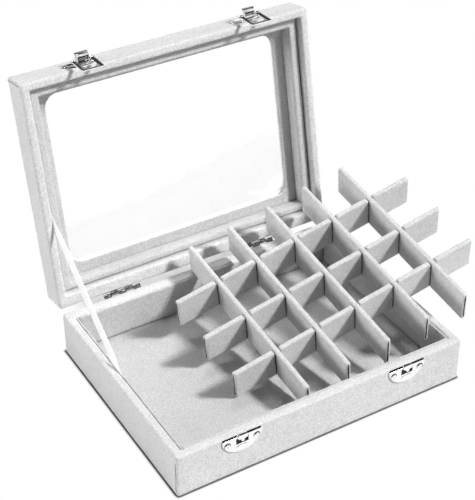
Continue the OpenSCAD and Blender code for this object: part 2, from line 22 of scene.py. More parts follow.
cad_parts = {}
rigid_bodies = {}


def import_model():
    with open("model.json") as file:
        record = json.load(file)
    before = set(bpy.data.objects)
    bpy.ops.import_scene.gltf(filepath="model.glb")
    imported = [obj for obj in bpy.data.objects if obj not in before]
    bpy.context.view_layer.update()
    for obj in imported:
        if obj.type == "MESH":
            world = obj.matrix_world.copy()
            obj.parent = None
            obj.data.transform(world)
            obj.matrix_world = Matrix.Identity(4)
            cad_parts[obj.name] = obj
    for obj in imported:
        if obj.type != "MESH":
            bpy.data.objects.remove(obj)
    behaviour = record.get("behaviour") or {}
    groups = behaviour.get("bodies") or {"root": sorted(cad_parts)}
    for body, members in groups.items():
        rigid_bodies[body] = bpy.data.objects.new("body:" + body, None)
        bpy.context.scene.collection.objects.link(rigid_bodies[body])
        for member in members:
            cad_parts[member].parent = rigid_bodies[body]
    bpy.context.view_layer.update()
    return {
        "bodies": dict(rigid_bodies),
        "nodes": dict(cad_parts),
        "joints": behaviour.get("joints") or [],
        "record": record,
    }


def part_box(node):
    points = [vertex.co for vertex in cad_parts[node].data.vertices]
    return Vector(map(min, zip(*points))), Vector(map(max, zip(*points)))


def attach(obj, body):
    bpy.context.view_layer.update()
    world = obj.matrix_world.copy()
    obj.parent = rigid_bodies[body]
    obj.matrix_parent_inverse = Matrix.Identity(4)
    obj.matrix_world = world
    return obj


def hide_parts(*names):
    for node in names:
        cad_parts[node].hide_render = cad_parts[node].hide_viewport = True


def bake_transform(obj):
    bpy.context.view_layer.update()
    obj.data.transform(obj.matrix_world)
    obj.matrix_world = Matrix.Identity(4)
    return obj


MM = 0.001
LOG = logging.getLogger("display_case")
WHITE = (1, 1, 1, 1)
# Distances in metres within which corners are merged, in drawn and in copied meshes
MERGE, CAD_MERGE = 1e-6, 2e-6
# Steps of a ring along the front and back, along the sides and round each corner
RING_STEPS = (96, 72, 6)
SMALLEST_RADIUS = 0.15

Object = bpy.types.Object
Material = bpy.types.Material
Socket = bpy.types.NodeSocket
Point = tuple[float, float, float]
Pair = tuple[float, float]
Inputs = dict[str | int, object]
Faces = list[tuple[int, ...]]
Spot = tuple[Vector, Vector, Vector]


class Body(Enum):
    """The rigid bodies that the pieces ride on."""

    TRAY = "tray"
    LID = "lid"
    DIVIDER = "divider"
    LEFT_LEVER = "left_lever"
    RIGHT_LEVER = "right_lever"
    LEFT_BAIL = "left_bail"
    RIGHT_BAIL = "right_bail"


class Slot(Enum):
    """The record's material slots, passed with each piece but not read."""

    SHELL = "velvet_shell"
    LINING = "velvet_lining"
    LID_LINING = "velvet_lid_lining"
    DIVIDER = "velvet_divider"
    RIBBON = "satin_ribbon"
    CHROME = "chromed_steel"


# Finishes


class Tree:
    """A node tree, filled in by short calls."""

    def __init__(self, tree: bpy.types.NodeTree) -> None:
        """Takes up a tree."""
        self.tree = tree
        self.nodes = tree.nodes

    def feed(self, node: bpy.types.Node, inputs: Inputs) -> None:
        """Gives a node's inputs what they take.

        Args:
            node: The node.
            inputs: A socket to join or a plain value, by the input's name or number.
        """
        for key, value in inputs.items():
            if isinstance(value, Socket):
                self.tree.links.new(value, node.inputs[key])
            else:
                node.inputs[key].default_value = value

    def add(self, kind: str, inputs: Inputs | None = None, **settings: object) -> bpy.types.Node:
        """Adds a node.

        Args:
            kind: The node's type.
            inputs: What its inputs take, as in feed.
            **settings: The node's own properties.

        Returns:
            The node.
        """
        node = self.nodes.new(kind)
        for key, value in settings.items():
            setattr(node, key, value)
        self.feed(node, inputs or {})
        return node

    def math(self, operation: str, first: Socket | float, second: Socket | float) -> Socket:
        """The result of an operation on two values."""
        return self.add("ShaderNodeMath", {0: first, 1: second}, operation=operation).outputs[0]

    def mix(self, factor: Socket | float, first: Socket, second: Socket) -> Socket:
        """Two shaders mixed by a factor."""
        return self.add("ShaderNodeMixShader", {"Fac": factor, 1: first, 2: second}).outputs["Shader"]

    def seen(self, *kinds: str) -> Socket:
        """One for camera rays and the kinds of ray named, and zero for others.

        Args:
            *kinds: Names of a Light Path's outputs.

        Returns:
            The socket that holds it.
        """
        path = self.add("ShaderNodeLightPath").outputs
        total = path["Is Camera Ray"]
        for kind in kinds:
            total = self.math("MAXIMUM", total, path[kind])
        return total


class NodeSheet(Tree):
    """A material's node tree, with its main shader at hand."""

    def __init__(self, name: str) -> None:
        """Makes a plain material.

        Args:
            name: The material's name.
        """
        self.material = bpy.data.materials.new(name)
        self.material.use_nodes = True
        super().__init__(self.material.node_tree)
        self.shader = self.nodes["Principled BSDF"]
        self.plain = self.shader.outputs["BSDF"]
        self.place = self.add("ShaderNodeTexCoord").outputs["Object"]

    def set(self, **values: object) -> None:
        """Feeds the main shader, with the spaces in a name written as underscores."""
        self.feed(self.shader, {key.replace("_", " "): value for key, value in values.items()})

    def surface(self, shader: Socket) -> None:
        """Ends the material on another shader."""
        self.feed(self.nodes["Material Output"], {"Surface": shader})

    def noise(
        self, per_metre: float, detail: float, stretch: Point = (1, 1, 1), roughness: float = 0.5
    ) -> Socket:
        """Adds a noise that reads the piece's own coordinates.

        Args:
            per_metre: Features in a metre.
            detail: Octaves.
            stretch: Scale along each axis.
            roughness: Strength of the finer octaves.

        Returns:
            Its strength.
        """
        turn = self.add("ShaderNodeMapping", {"Vector": self.place, "Scale": stretch}).outputs["Vector"]
        inputs = {"Vector": turn, "Scale": per_metre, "Detail": detail, "Roughness": roughness}
        return self.add("ShaderNodeTexNoise", inputs).outputs["Fac"]

    def ramp(self, factor: Socket, *stops: tuple[float, float | Sequence[float]]) -> Socket:
        """Adds a colour ramp.

        Args:
            factor: What drives it.
            *stops: Places along it, each with a grey or a colour.

        Returns:
            Its colour.
        """
        node = self.add("ShaderNodeValToRGB", {"Fac": factor})
        elements = node.color_ramp.elements
        while len(elements) < len(stops):
            elements.new(0.5)
        for element, (place, tone) in zip(elements, stops):
            element.position = place
            element.color = (*((tone,) * 3 if isinstance(tone, float) else tone), 1)
        return node.outputs["Color"]

    def multiplied(self, first: Socket, second: Socket) -> Socket:
        """Multiplies two colours.

        Args:
            first: A colour.
            second: Another.

        Returns:
            Their product.
        """
        node = self.add("ShaderNodeMix", {"Factor": 1.0}, data_type="RGBA", blend_type="MULTIPLY")
        for value, end in zip((first, second), (s for s in node.inputs if s.type == "RGBA")):
            self.tree.links.new(value, end)
        return next(s for s in node.outputs if s.type == "RGBA")

    def bump(self, *heights: tuple[Socket, float, float]) -> None:
        """Chains bumps into the main shader's normal.

        Args:
            *heights: Height, strength and distance in metres of each bump.
        """
        inputs: Inputs = {}
        for height, strength, distance in heights:
            inputs |= {"Height": height, "Strength": strength, "Distance": distance}
            inputs["Normal"] = self.add("ShaderNodeBump", inputs).outputs["Normal"]
        self.set(Normal=inputs["Normal"])


@dataclass(frozen=True)
class VelvetFinish:
    """Short-piled velvet: a mottled nap, a soft sheen and a fine pile."""

    name: str
    light: float
    shade: float
    tint: float = 0.004
    mottle_per_metre: float = 190.0
    cloud_per_metre: float = 34.0
    cloud_shade: float = 0.96
    grain_per_metre: float = 850.0
    grain_shade: float = 0.78
    pile_per_metre: float = 2600.0
    pile_shade: float = 0.93
    sheen: float = 0.25
    pile_depth: float = 0.00022
    mottle_depth: float = 0.0009

    def tinted(self, tone: float) -> Point:
        """A grey with a touch of blue."""
        return (tone, tone, tone + self.tint)

    def material(self) -> Material:
        """Builds the velvet's node tree.

        Returns:
            The material.
        """
        sheet = NodeSheet(self.name)
        mottle = sheet.noise(self.mottle_per_metre, detail=4.0, roughness=0.62)
        cloud = sheet.noise(self.cloud_per_metre, detail=2.0)
        grain = sheet.noise(self.grain_per_metre, detail=2.0, roughness=0.7)
        pile = sheet.noise(self.pile_per_metre, detail=1.5, roughness=0.7)
        light = self.tinted(self.light)
        colour = sheet.ramp(mottle, (0.33, self.tinted(self.shade)), (0.5, light), (0.7, light))
        # Each layer darkens to its tone, between two strengths of its noise
        for noise, dark, start, end in (
            (cloud, self.cloud_shade, 0.3, 0.65),
            (grain, self.grain_shade, 0.38, 0.62),
            (pile, self.pile_shade, 0.3, 0.6),
        ):
            colour = sheet.multiplied(colour, sheet.ramp(noise, (start, dark), (end, 1.0)))
        sheet.set(Base_Color=colour, Roughness=0.92, Specular_IOR_Level=0.15)
        sheet.set(Sheen_Weight=self.sheen, Sheen_Roughness=0.45)
        fine = self.pile_depth
        sheet.bump((mottle, 0.4, self.mottle_depth), (grain, 0.5, fine), (pile, 0.4, fine))
        return sheet.material


@dataclass(frozen=True)
class ChromeFinish:
    """Thin chrome plate on pressed steel, with a faint orange peel and wipe marks."""

    name: str
    tone: float = 0.99
    wiped_share: float = 0.96
    dull: Pair = (0.05, 0.1)
    peel_per_metre: float = 420.0
    wipe_per_metre: float = 900.0

    def material(self) -> Material:
        """Builds the chrome's node tree.

        Returns:
            The material.
        """
        sheet = NodeSheet(self.name)
        wipe = sheet.noise(self.wipe_per_metre, detail=3.0, stretch=(0.15, 1.0, 1.0))
        colour = sheet.ramp(wipe, (0.35, self.wiped_share * self.tone), (0.6, self.tone))
        roughness = sheet.ramp(wipe, (0.3, self.dull[0]), (0.75, self.dull[1]))
        sheet.set(Base_Color=colour, Roughness=roughness, Metallic=1.0)
        sheet.bump((sheet.noise(self.peel_per_metre, detail=2.0), 0.05, 0.0001))
        return sheet.material


@dataclass(frozen=True)
class SatinFinish:
    """White satin ribbon: fine warp threads and a soft gloss."""

    name: str
    tone: float = 0.97
    bands: float = 260.0
    slub_per_metre: float = 700.0
    light_through: float = 0.4

    def material(self) -> Material:
        """Builds the ribbon's node tree.

        Returns:
            The material.
        """
        sheet = NodeSheet(self.name)
        uv = sheet.add("ShaderNodeUVMap").outputs["UV"]
        inputs = {"Vector": uv, "Scale": self.bands}
        warp = sheet.add("ShaderNodeTexWave", inputs, wave_type="BANDS", bands_direction="X")
        slub = sheet.noise(self.slub_per_metre, detail=3.0)
        sheet.set(Base_Color=sheet.ramp(slub, (0.3, 0.9 * self.tone), (0.6, self.tone)))
        sheet.set(Roughness=0.38, Sheen_Weight=0.25, Sheen_Roughness=0.3)
        through = sheet.add("ShaderNodeBsdfTranslucent", {"Color": WHITE}).outputs["BSDF"]
        sheet.surface(sheet.mix(self.light_through, sheet.plain, through))
        sheet.bump((warp.outputs["Fac"], 0.25, 0.00008), (slub, 0.2, 0.0002))
        return sheet.material


@dataclass(frozen=True)
class GlassFinish:
    """Clear window glass."""

    name: str
    smears_per_metre: float = 30.0
    haze: float = 0.03
    clear: tuple[float, ...] = (0.97, 0.98, 0.98, 1)

    def material(self) -> Material:
        """Builds the glass, which lets shadow rays pass unbent.

        Returns:
            The material.
        """
        sheet = NodeSheet(self.name)
        haze = sheet.ramp(sheet.noise(self.smears_per_metre, detail=3.0), (0.4, 0.0), (0.8, self.haze))
        sheet.set(Base_Color=WHITE, Roughness=haze, Transmission_Weight=1.0, IOR=1.45)
        shadow = sheet.add("ShaderNodeLightPath").outputs["Is Shadow Ray"]
        clear = sheet.add("ShaderNodeBsdfTransparent", {"Color": self.clear}).outputs["BSDF"]
        sheet.surface(sheet.mix(shadow, sheet.plain, clear))
        return sheet.material


@dataclass(frozen=True)
class BoardFinish:
    """Pressed fibre board or card: a fine fleck on a dull ground."""

    name: str
    light: Point
    shade: Point
    fleck_per_metre: float = 1400.0

    def material(self) -> Material:
        """Builds the board's node tree.

        Returns:
            The material.
        """
        sheet = NodeSheet(self.name)
        fleck = sheet.noise(self.fleck_per_metre, detail=3.0, stretch=(1.0, 0.4, 1.0))
        colour = sheet.ramp(fleck, (0.35, self.shade), (0.6, self.light))
        sheet.set(Base_Color=colour, Roughness=0.85, Specular_IOR_Level=0.2)
        sheet.bump((fleck, 0.4, 0.0002))
        return sheet.material


def made_by(finish: VelvetFinish | ChromeFinish | SatinFinish | GlassFinish | BoardFinish) -> Material:
    """A palette field that is built from a finish when the palette is made."""
    return field(default_factory=finish.material)


@dataclass(frozen=True)
class Palette:
    """The materials that the pieces share."""

    shell: Material = made_by(VelvetFinish("velvet_shell", light=0.7, shade=0.655))
    # Set darker than the shell: partly the lining's own tone, partly painted shade, so that less light
    # bounces round the tray and its cells fall darker
    lining: Material = made_by(VelvetFinish("velvet_lining", light=0.58, shade=0.545))
    lid_lining: Material = made_by(VelvetFinish("velvet_lid_lining", light=0.6, shade=0.55))
    divider: Material = made_by(VelvetFinish("velvet_divider", light=0.66, shade=0.63, pile_depth=0.00018))
    chrome: Material = made_by(ChromeFinish("chromed_steel"))
    # Darker than the chrome: partly a duller steel, partly painted reflection of the dark surroundings that
    # hinges and pins mirror
    hinge_steel_dark_reflection: Material = made_by(ChromeFinish("hinge_steel", tone=0.3))
    # Near-black steel: painted shade, put where the levers' mouths, the catch slots, the plates' top edges
    # and the nail heads fall dark
    painted_shade_steel: Material = made_by(ChromeFinish("steel_in_shade", tone=0.03))
    ribbon: Material = made_by(SatinFinish("satin_ribbon"))
    glass: Material = made_by(GlassFinish("window_glass"))
    board: Material = made_by(
        BoardFinish("fibre_board", light=(0.45, 0.33, 0.2), shade=(0.33, 0.23, 0.13))
    )
    felt: Material = made_by(VelvetFinish("felt", light=0.42, shade=0.34, tint=0.01, sheen=0.15))
    card: Material = made_by(
        BoardFinish("card_core", (0.05, 0.048, 0.046), (0.02, 0.019, 0.018), fleck_per_metre=2600.0)
    )
    # Dark velvet for the corner seams, and painted shade in the divider's lap corners
    seam: Material = made_by(VelvetFinish("velvet_seam", light=0.15, shade=0.1, tint=0.005, sheen=0.05))


# Geometry Nodes


class SocketKind(Enum):
    """Kinds of input that a node tree offers."""

    LENGTH = "NodeSocketFloat"
    SHAPE = "NodeSocketObject"
    FINISH = "NodeSocketMaterial"


class GeometryTree(Tree):
    """A Geometry Nodes tree with named inputs, run once into a plain mesh."""

    def __init__(self, name: str, **inputs: SocketKind) -> None:
        """Makes a tree that takes a geometry, a finish and the inputs named.

        Args:
            name: The tree's name.
            **inputs: What each input takes.
        """
        super().__init__(bpy.data.node_groups.new(name, "GeometryNodeTree"))
        new = self.tree.interface.new_socket
        for way in ("INPUT", "OUTPUT"):
            new("Geometry", in_out=way, socket_type="NodeSocketGeometry")
        inputs["Finish"] = SocketKind.FINISH
        self.keys = {
            key: new(key, in_out="INPUT", socket_type=kind.value).identifier for key, kind in inputs.items()
        }
        self.given = self.add("NodeGroupInput").outputs

    def finish(self, geometry: Socket) -> None:
        """Ends the tree in Realize Instances and Set Material.

        Args:
            geometry: What to end on.
        """
        for kind, inputs in (
            ("GeometryNodeRealizeInstances", {}),
            ("GeometryNodeSetMaterial", {"Material": self.given["Finish"]}),
        ):
            geometry = self.add(kind, {"Geometry": geometry, **inputs}).outputs["Geometry"]
        self.add("NodeGroupOutput", {"Geometry": geometry})

    def run(self, obj: Object, **values: object) -> Object:
        """Runs the tree on an object and leaves a plain mesh.

        Args:
            obj: The object, whose mesh the tree reads.
            **values: What each input gets.

        Returns:
            The same object, with the result as its mesh.
        """
        modifier = obj.modifiers.new(self.tree.name, "NODES")
        modifier.node_group = self.tree
        for name, value in values.items():
            modifier[self.keys[name]] = value
        return apply_modifiers(obj)


def nap_tree() -> GeometryTree:
    """A tree that lifts and sinks a covered surface a little, as padding under velvet does.

    Returns:
        The tree, with inputs Height, Size, Seed and Finish.
    """
    length = SocketKind.LENGTH
    made = GeometryTree("Padded Surface", Height=length, Size=length, Seed=length)
    inputs = {
        "Vector": made.add("GeometryNodeInputPosition").outputs["Position"],
        "W": made.given["Seed"],
        "Scale": made.math("DIVIDE", 1.0, made.given["Size"]),
        "Detail": 1.5,
    }
    noise = made.add("ShaderNodeTexNoise", inputs, noise_dimensions="4D").outputs["Fac"]
    lift = made.math("MULTIPLY", made.math("SUBTRACT", noise, 0.5), made.given["Height"])
    normal = made.add("GeometryNodeInputNormal").outputs["Normal"]
    offset = made.add("ShaderNodeVectorMath", {0: normal, "Scale": lift}, operation="SCALE").outputs["Vector"]
    moved = made.add("GeometryNodeSetPosition", {"Geometry": made.given["Geometry"], "Offset": offset})
    smooth = made.add("GeometryNodeSetShadeSmooth", {"Geometry": moved.outputs["Geometry"]})
    made.finish(smooth.outputs["Geometry"])
    return made


def stud_tree() -> GeometryTree:
    """A tree that sets one shape on every vertex, turned as the vertex's attributes say.

    Returns:
        The tree, with inputs Shape and Finish.
    """
    made = GeometryTree("Repeated Shape", Shape=SocketKind.SHAPE)
    axes: Inputs = {}
    for axis, name in (("Primary Axis", "facing"), ("Secondary Axis", "side")):
        stored = made.add("GeometryNodeInputNamedAttribute", {"Name": name}, data_type="FLOAT_VECTOR")
        axes[axis] = stored.outputs["Attribute"]
    turn = made.add("FunctionNodeAxesToRotation", axes, primary_axis="Z", secondary_axis="X")
    inputs = {
        "Points": made.given["Geometry"],
        "Instance": made.add("GeometryNodeObjectInfo", {"Object": made.given["Shape"]}).outputs["Geometry"],
        "Rotation": turn.outputs["Rotation"],
    }
    made.finish(made.add("GeometryNodeInstanceOnPoints", inputs).outputs["Instances"])
    return made


# Mesh helpers


def linked_object(name: str, data: bpy.types.ID) -> Object:
    """A new object in the scene that holds a mesh, a lamp or a camera."""
    obj = bpy.data.objects.new(name, data)
    bpy.context.scene.collection.objects.link(obj)
    return obj


def from_points(name: str, verts: Sequence[Sequence[float]], faces: Faces) -> Object:
    """Makes an object from points.

    Args:
        name: The object's name.
        verts: Points in millimetres.
        faces: Corner numbers of each face.

    Returns:
        The object, smooth and with its faces turned outwards.
    """
    mesh = bpy.data.meshes.new(name)
    mesh.from_pydata([tuple(c * MM for c in v) for v in verts], [], faces)
    work = bmesh.new()
    work.from_mesh(mesh)
    bmesh.ops.remove_doubles(work, verts=work.verts, dist=MERGE)
    bmesh.ops.recalc_face_normals(work, faces=work.faces)
    work.to_mesh(mesh)
    work.free()
    mesh.shade_smooth()
    return linked_object(name, mesh)


def quads(rows: int, columns: int, start: int = 0, ring: bool = False, tube: bool = False) -> Faces:
    """The faces between rows of points.

    Args:
        rows: Number of rows.
        columns: Points in a row.
        start: Number of the first point.
        ring: Whether each row closes on itself.
        tube: Whether the last row joins the first.

    Returns:
        Corner numbers of each face.
    """
    faces: Faces = []
    for j in range(rows if tube else rows - 1):
        near, far = start + j * columns, start + (j + 1) % rows * columns
        for k in range(columns if ring else columns - 1):
            n = (k + 1) % columns
            faces.append((near + k, near + n, far + n, far + k))
    return faces


def circle(radius: float, z: float, steps: int) -> list[Point]:
    """Points round the Z axis."""
    turns = (2 * math.pi * k / steps for k in range(steps))
    return [(radius * math.cos(t), radius * math.sin(t), z) for t in turns]


def block(name: str, centre_x: float, low: Point, high: Point) -> Object:
    """A plain block.

    Args:
        name: The object's name.
        centre_x: Where its corners' X is counted from.
        low: Its lowest corner in millimetres.
        high: Its highest corner.

    Returns:
        The block.
    """
    x, y, z = zip(low, high)
    verts = [(centre_x + x[k // 4], y[k // 2 % 2], z[k % 2]) for k in range(8)]
    faces = [(0, 1, 3, 2), (4, 6, 7, 5), (0, 4, 5, 1), (2, 3, 7, 6), (0, 2, 6, 4), (1, 5, 7, 3)]
    return from_points(name, verts, faces)


def merged_copy(frame: dict, node: str, name: str, flat: float = 0.6) -> Object:
    """Copies a CAD node with its corners merged.

    Args:
        node: The node's name.
        name: The new object's name.
        flat: Angle in degrees under which two faces become one.

    Returns:
        The new object.
    """
    work = bmesh.new()
    work.from_mesh(frame["nodes"][node].data)
    bmesh.ops.remove_doubles(work, verts=work.verts, dist=CAD_MERGE)
    bmesh.ops.dissolve_limit(
        work,
        angle_limit=math.radians(flat),
        use_dissolve_boundaries=False,
        verts=work.verts,
        edges=work.edges,
    )
    for layer in list(work.loops.layers.float_vector.values()):
        work.loops.layers.float_vector.remove(layer)
    mesh = bpy.data.meshes.new(name)
    work.to_mesh(mesh)
    work.free()
    if "custom_normal" in mesh.attributes:
        mesh.attributes.remove(mesh.attributes["custom_normal"])
    mesh.materials.clear()
    return linked_object(name, mesh)


def apply_modifiers(obj: Object) -> Object:
    """Turns an object's modifiers into its mesh.

    Args:
        obj: The object.

    Returns:
        The same object.
    """
    graph = bpy.context.evaluated_depsgraph_get()
    mesh = bpy.data.meshes.new_from_object(obj.evaluated_get(graph), depsgraph=graph)
    mesh.name = obj.name
    obj.modifiers.clear()
    obj.data = mesh
    return obj


def soften_edges(obj: Object, width: float, crease: float = 32.0, sharp: float = 38.0) -> Object:
    """Bevels the sharp edges of a pressed piece.

    Args:
        obj: The object.
        width: Width of the bevel in millimetres.
        crease: Angle in degrees past which an edge is bevelled.
        sharp: Angle in degrees past which an edge stays sharp.

    Returns:
        The object.
    """
    bevel = obj.modifiers.new("bevel", "BEVEL")
    bevel.width = width * MM
    bevel.segments = 2
    bevel.limit_method = "ANGLE"
    bevel.angle_limit = math.radians(crease)
    bevel.miter_outer = "MITER_ARC"
    apply_modifiers(obj)
    obj.data.shade_smooth()
    obj.data.set_sharp_from_angle(angle=math.radians(sharp))
    return obj


def soft_copy(frame: dict, node: str, name: str, voxel: float, rounds: int) -> Object:
    """Copies a CAD node and wraps it in one smooth skin, as stretched velvet does.

    Args:
        node: The node's name.
        name: The new object's name.
        voxel: Size of a voxel in millimetres.
        rounds: Rounds of smoothing.

    Returns:
        The new object.
    """
    obj = merged_copy(frame, node, name)
    remesh = obj.modifiers.new("remesh", "REMESH")
    remesh.mode = "VOXEL"
    remesh.voxel_size = voxel * MM
    remesh.use_smooth_shade = True
    smooth = obj.modifiers.new("smooth", "SMOOTH")
    smooth.factor = 0.5
    smooth.iterations = rounds
    return apply_modifiers(obj)


def smooth_step(start: float, end: float, value: float) -> float:
    """Rises smoothly from 0 at start to 1 at end."""
    share = min(max((value - start) / (end - start), 0.0), 1.0)
    return share * share * (3 - 2 * share)


@dataclass(frozen=True)
class Ring:
    """A rectangle with round corners, as one closed row of points."""

    left: float
    right: float
    front: float
    back: float
    radius: float

    def inset(self, by: float, radius: float | None = None) -> "Ring":
        """The ring drawn in by a distance, with its own or a given radius."""
        corner = max(self.radius - by, SMALLEST_RADIUS) if radius is None else radius
        return Ring(self.left + by, self.right - by, self.front + by, self.back - by, corner)

    def towards(self, other: "Ring", share: float) -> "Ring":
        """The ring a share of the way to another."""
        return Ring(*(a + (b - a) * share for a, b in zip(vars(self).values(), vars(other).values())))

    def points(self, along_x: int, along_y: int, round_steps: int) -> list[Pair]:
        """The ring's points, anticlockwise from the front left.

        Args:
            along_x: Steps along the front and back.
            along_y: Steps along the sides.
            round_steps: Steps round each corner.

        Returns:
            The points.
        """
        r = self.radius
        corners = (
            (self.right - r, self.front + r, -90, along_x),
            (self.right - r, self.back - r, 0, along_y),
            (self.left + r, self.back - r, 90, along_x),
            (self.left + r, self.front + r, 180, along_y),
        )
        found: list[Pair] = []
        last = (self.left + r, self.front)
        for x, y, start, steps in corners:
            turns = [math.radians(start + 90 * k / round_steps) for k in range(round_steps + 1)]
            arc = [(x + r * math.cos(t), y + r * math.sin(t)) for t in turns]
            found += [tuple(a + (b - a) * k / steps for a, b in zip(last, arc[0])) for k in range(steps)]
            found += arc[:-1]
            last = arc[-1]
        return found


Section = list[tuple[Ring, float]]


@dataclass
class RingLoft:
    """A frame whose section runs round a rectangle."""

    name: str
    section: Section
    steps: tuple[int, int, int] = RING_STEPS
    reshape: Callable[[float, float, float], Point] | None = None

    def build(self) -> Object:
        """Lofts the section round the ring.

        Returns:
            The frame as an object.
        """
        verts = [(x, y, z) for ring, z in self.section for x, y in ring.points(*self.steps)]
        if self.reshape is not None:
            verts = [self.reshape(*p) for p in verts]
        rows = len(self.section)
        return from_points(self.name, verts, quads(rows, len(verts) // rows, ring=True, tube=True))


def arc_section(
    ring: Ring, inwards: int, radius: float, low: float, start: float, end: float, steps: int = 6
) -> Section:
    """Section points round an edge of a wall.

    Args:
        ring: The ring of the wall's face.
        inwards: 1 where the wall lies inside the ring, -1 where it lies outside.
        radius: Radius of the edge.
        low: Height of the arc's centre.
        start: First angle, 0 on the face and 90 straight up.
        end: Last angle.
        steps: Steps along the arc.

    Returns:
        Rings and heights.
    """
    found = []
    for k in range(steps + 1):
        angle = math.radians(start + (end - start) * k / steps)
        shift = inwards * radius * (1 - math.cos(angle))
        found.append((ring.inset(shift), low + radius * math.sin(angle)))
    return found


def straight_section(ring: Ring, start: float, end: float, step: float) -> Section:
    """Section points straight up or down a face, without its two ends."""
    count = max(int(abs(end - start) / step), 1)
    return [(ring, start + (end - start) * k / count) for k in range(1, count)]


def upside_down(section: Section) -> Section:
    """A section mirrored about z = 0."""
    return [(ring, -z) for ring, z in section]


# Sub-assemblies


@dataclass(frozen=True)
class Padding:
    """Uneven padding under velvet: its full height and its size in millimetres, and which pattern."""

    height: float
    size: float
    seed: float

    def like(self, number: int) -> "Padding":
        """The same padding in a later pattern."""
        return Padding(self.height, self.size, self.seed + number)


@dataclass
class Build:
    """What every sub-assembly needs to make and place its pieces."""

    frame: dict
    palette: Palette = field(default_factory=Palette)
    nap: GeometryTree = field(default_factory=nap_tree)
    studs: GeometryTree = field(default_factory=stud_tree)
    made: list[str] = field(default_factory=list)

    def size(self, node: str) -> tuple[Vector, Vector]:
        """A node's lowest and highest corners in millimetres."""
        low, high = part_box(node)
        return low / MM, high / MM

    def place(
        self, obj: Object, body: Body, slot: Slot, *nodes: str, material: Material | None = None
    ) -> None:
        """Rides a finished piece on its body, hides the CAD nodes that it replaces and lists it.

        Args:
            obj: The piece.
            body: Its body.
            slot: The record's slot; not used.
            *nodes: CAD nodes that it replaces.
            material: Its material, where it has none yet.
        """
        if material is not None:
            obj.data.materials.append(material)
        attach(obj, body.value)
        if nodes:
            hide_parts(*nodes)
        self.made.append(obj.name)
        LOG.info("%s on %s, %d faces", obj.name, body.value, len(obj.data.polygons))

    def dress(self, obj: Object, material: Material, padding: Padding) -> None:
        """Gives a covered piece its velvet and its uneven padding."""
        height, size = padding.height * MM, padding.size * MM
        self.nap.run(obj, Height=height, Size=size, Seed=padding.seed, Finish=material)

    def repeat(self, name: str, shape: Object, spots: Sequence[Spot], material: Material) -> Object:
        """Sets a shape at each spot, by Geometry Nodes.

        Args:
            name: The new piece's name.
            shape: The shape, drawn about the origin with its face to +Z.
            spots: Place in millimetres, facing and side direction of each copy.
            material: The copies' material.

        Returns:
            The piece.
        """
        mesh = bpy.data.meshes.new(name)
        mesh.from_pydata([tuple(p * MM) for p, _, _ in spots], [], [])
        for key, column in (("facing", 1), ("side", 2)):
            layer = mesh.attributes.new(key, "FLOAT_VECTOR", "POINT")
            for item, spot in zip(layer.data, spots):
                item.vector = spot[column]
        obj = self.studs.run(linked_object(name, mesh), Shape=shape, Finish=material)
        bpy.data.objects.remove(shape)
        return obj


@dataclass
class OpenLid:
    """The turn from the closed lid, in which lid pieces are drawn, to the open one."""

    hinge_y: float = 76.2
    hinge_z: float = 31.0
    angle: float = 101.2
    rim_z: float = 31.5

    def matrix(self) -> Matrix:
        """Takes points drawn with the lid's rim on z = 0, in metres, to the open lid.

        Returns:
            The turn.
        """
        pivot = Matrix.Translation(Vector((0, self.hinge_y, self.hinge_z)) * MM)
        turn = Matrix.Rotation(math.radians(-self.angle), 4, "X")
        return pivot @ turn @ pivot.inverted() @ Matrix.Translation((0, 0, self.rim_z * MM))

    def turn(self, obj: Object) -> Object:
        """Opens a piece that was drawn in the closed lid."""
        obj.data.transform(self.matrix())
        return obj

    @contextmanager
    def closed(self, obj: Object, on_lid: bool = True) -> Iterator[None]:
        """Shuts the lid while one of its pieces is worked on.

        Args:
            obj: The piece.
            on_lid: False for a piece of the tray, which stays as it is.

        Yields:
            Nothing.
        """
        turn = self.matrix() if on_lid else Matrix.Identity(4)
        obj.data.transform(turn.inverted())
        yield
        obj.data.transform(turn)


@dataclass
class CaseSizes:
    """The sizes that the tray and the lid share, in millimetres."""

    width: float = 200.0
    depth: float = 150.0
    tray_height: float = 30.5
    lid_height: float = 21.5
    wall: float = 5.6
    back_wall: float = 8.0
    rim_radius: float = 1.6
    corner_radius: float = 1.5
    foot_radius: float = 1.2
    crown_radius: float = 2.5
    inside_radius: float = 0.5
    face_step: float = 1.6
    hidden_step: float = 2.4
    window: Ring = Ring(-81.5, 81.5, -59.0, 55.0, 9.0)

    @property
    def half(self) -> Pair:
        """Half the width and half the depth."""
        return self.width / 2, self.depth / 2

    def outside(self) -> Ring:
        """The case's outer face."""
        x, y = self.half
        return Ring(-x, x, -y, y, self.corner_radius)

    def inside(self) -> Ring:
        """The walls' inner face."""
        x, y = self.half
        return Ring(self.wall - x, x - self.wall, self.wall - y, y - self.back_wall, self.inside_radius)


@dataclass
class Seam:
    """The dark line where the cover's two ends meet, in each side face near the front."""

    sizes: CaseSizes
    low: float
    high: float
    from_front: float = 1.8
    width: float = 1.5
    root: float = -0.3
    proud: float = 0.22
    tip: float = 0.02
    squareness: int = 8
    sways: tuple[Pair, ...] = ((0.16, 2.6 * math.pi), (0.06, 11.0))
    rows: int = 24

    def strip(self, name: str) -> Object:
        """Draws the line on both sides of the case.

        Args:
            name: The piece's name.

        Returns:
            The two strips as one object.
        """
        half_x, half_y = self.sizes.half
        verts: list[Point] = []
        faces: Faces = []
        for side in (-1, 1):
            faces += quads(self.rows + 1, 3, len(verts))
            for k in range(self.rows + 1):
                share = k / self.rows
                z = self.low + (self.high - self.low) * share
                round_off = math.sqrt(max(1 - (2 * share - 1) ** self.squareness, 0.0))
                half = self.width / 2 * round_off + self.tip
                sway = sum(size * math.sin(turns * share) for size, turns in self.sways)
                for across, out in ((-half, self.root), (0, self.proud), (half, self.root)):
                    verts.append((side * (half_x + out), -half_y + self.from_front + sway + across, z))
        return from_points(name, verts, faces)


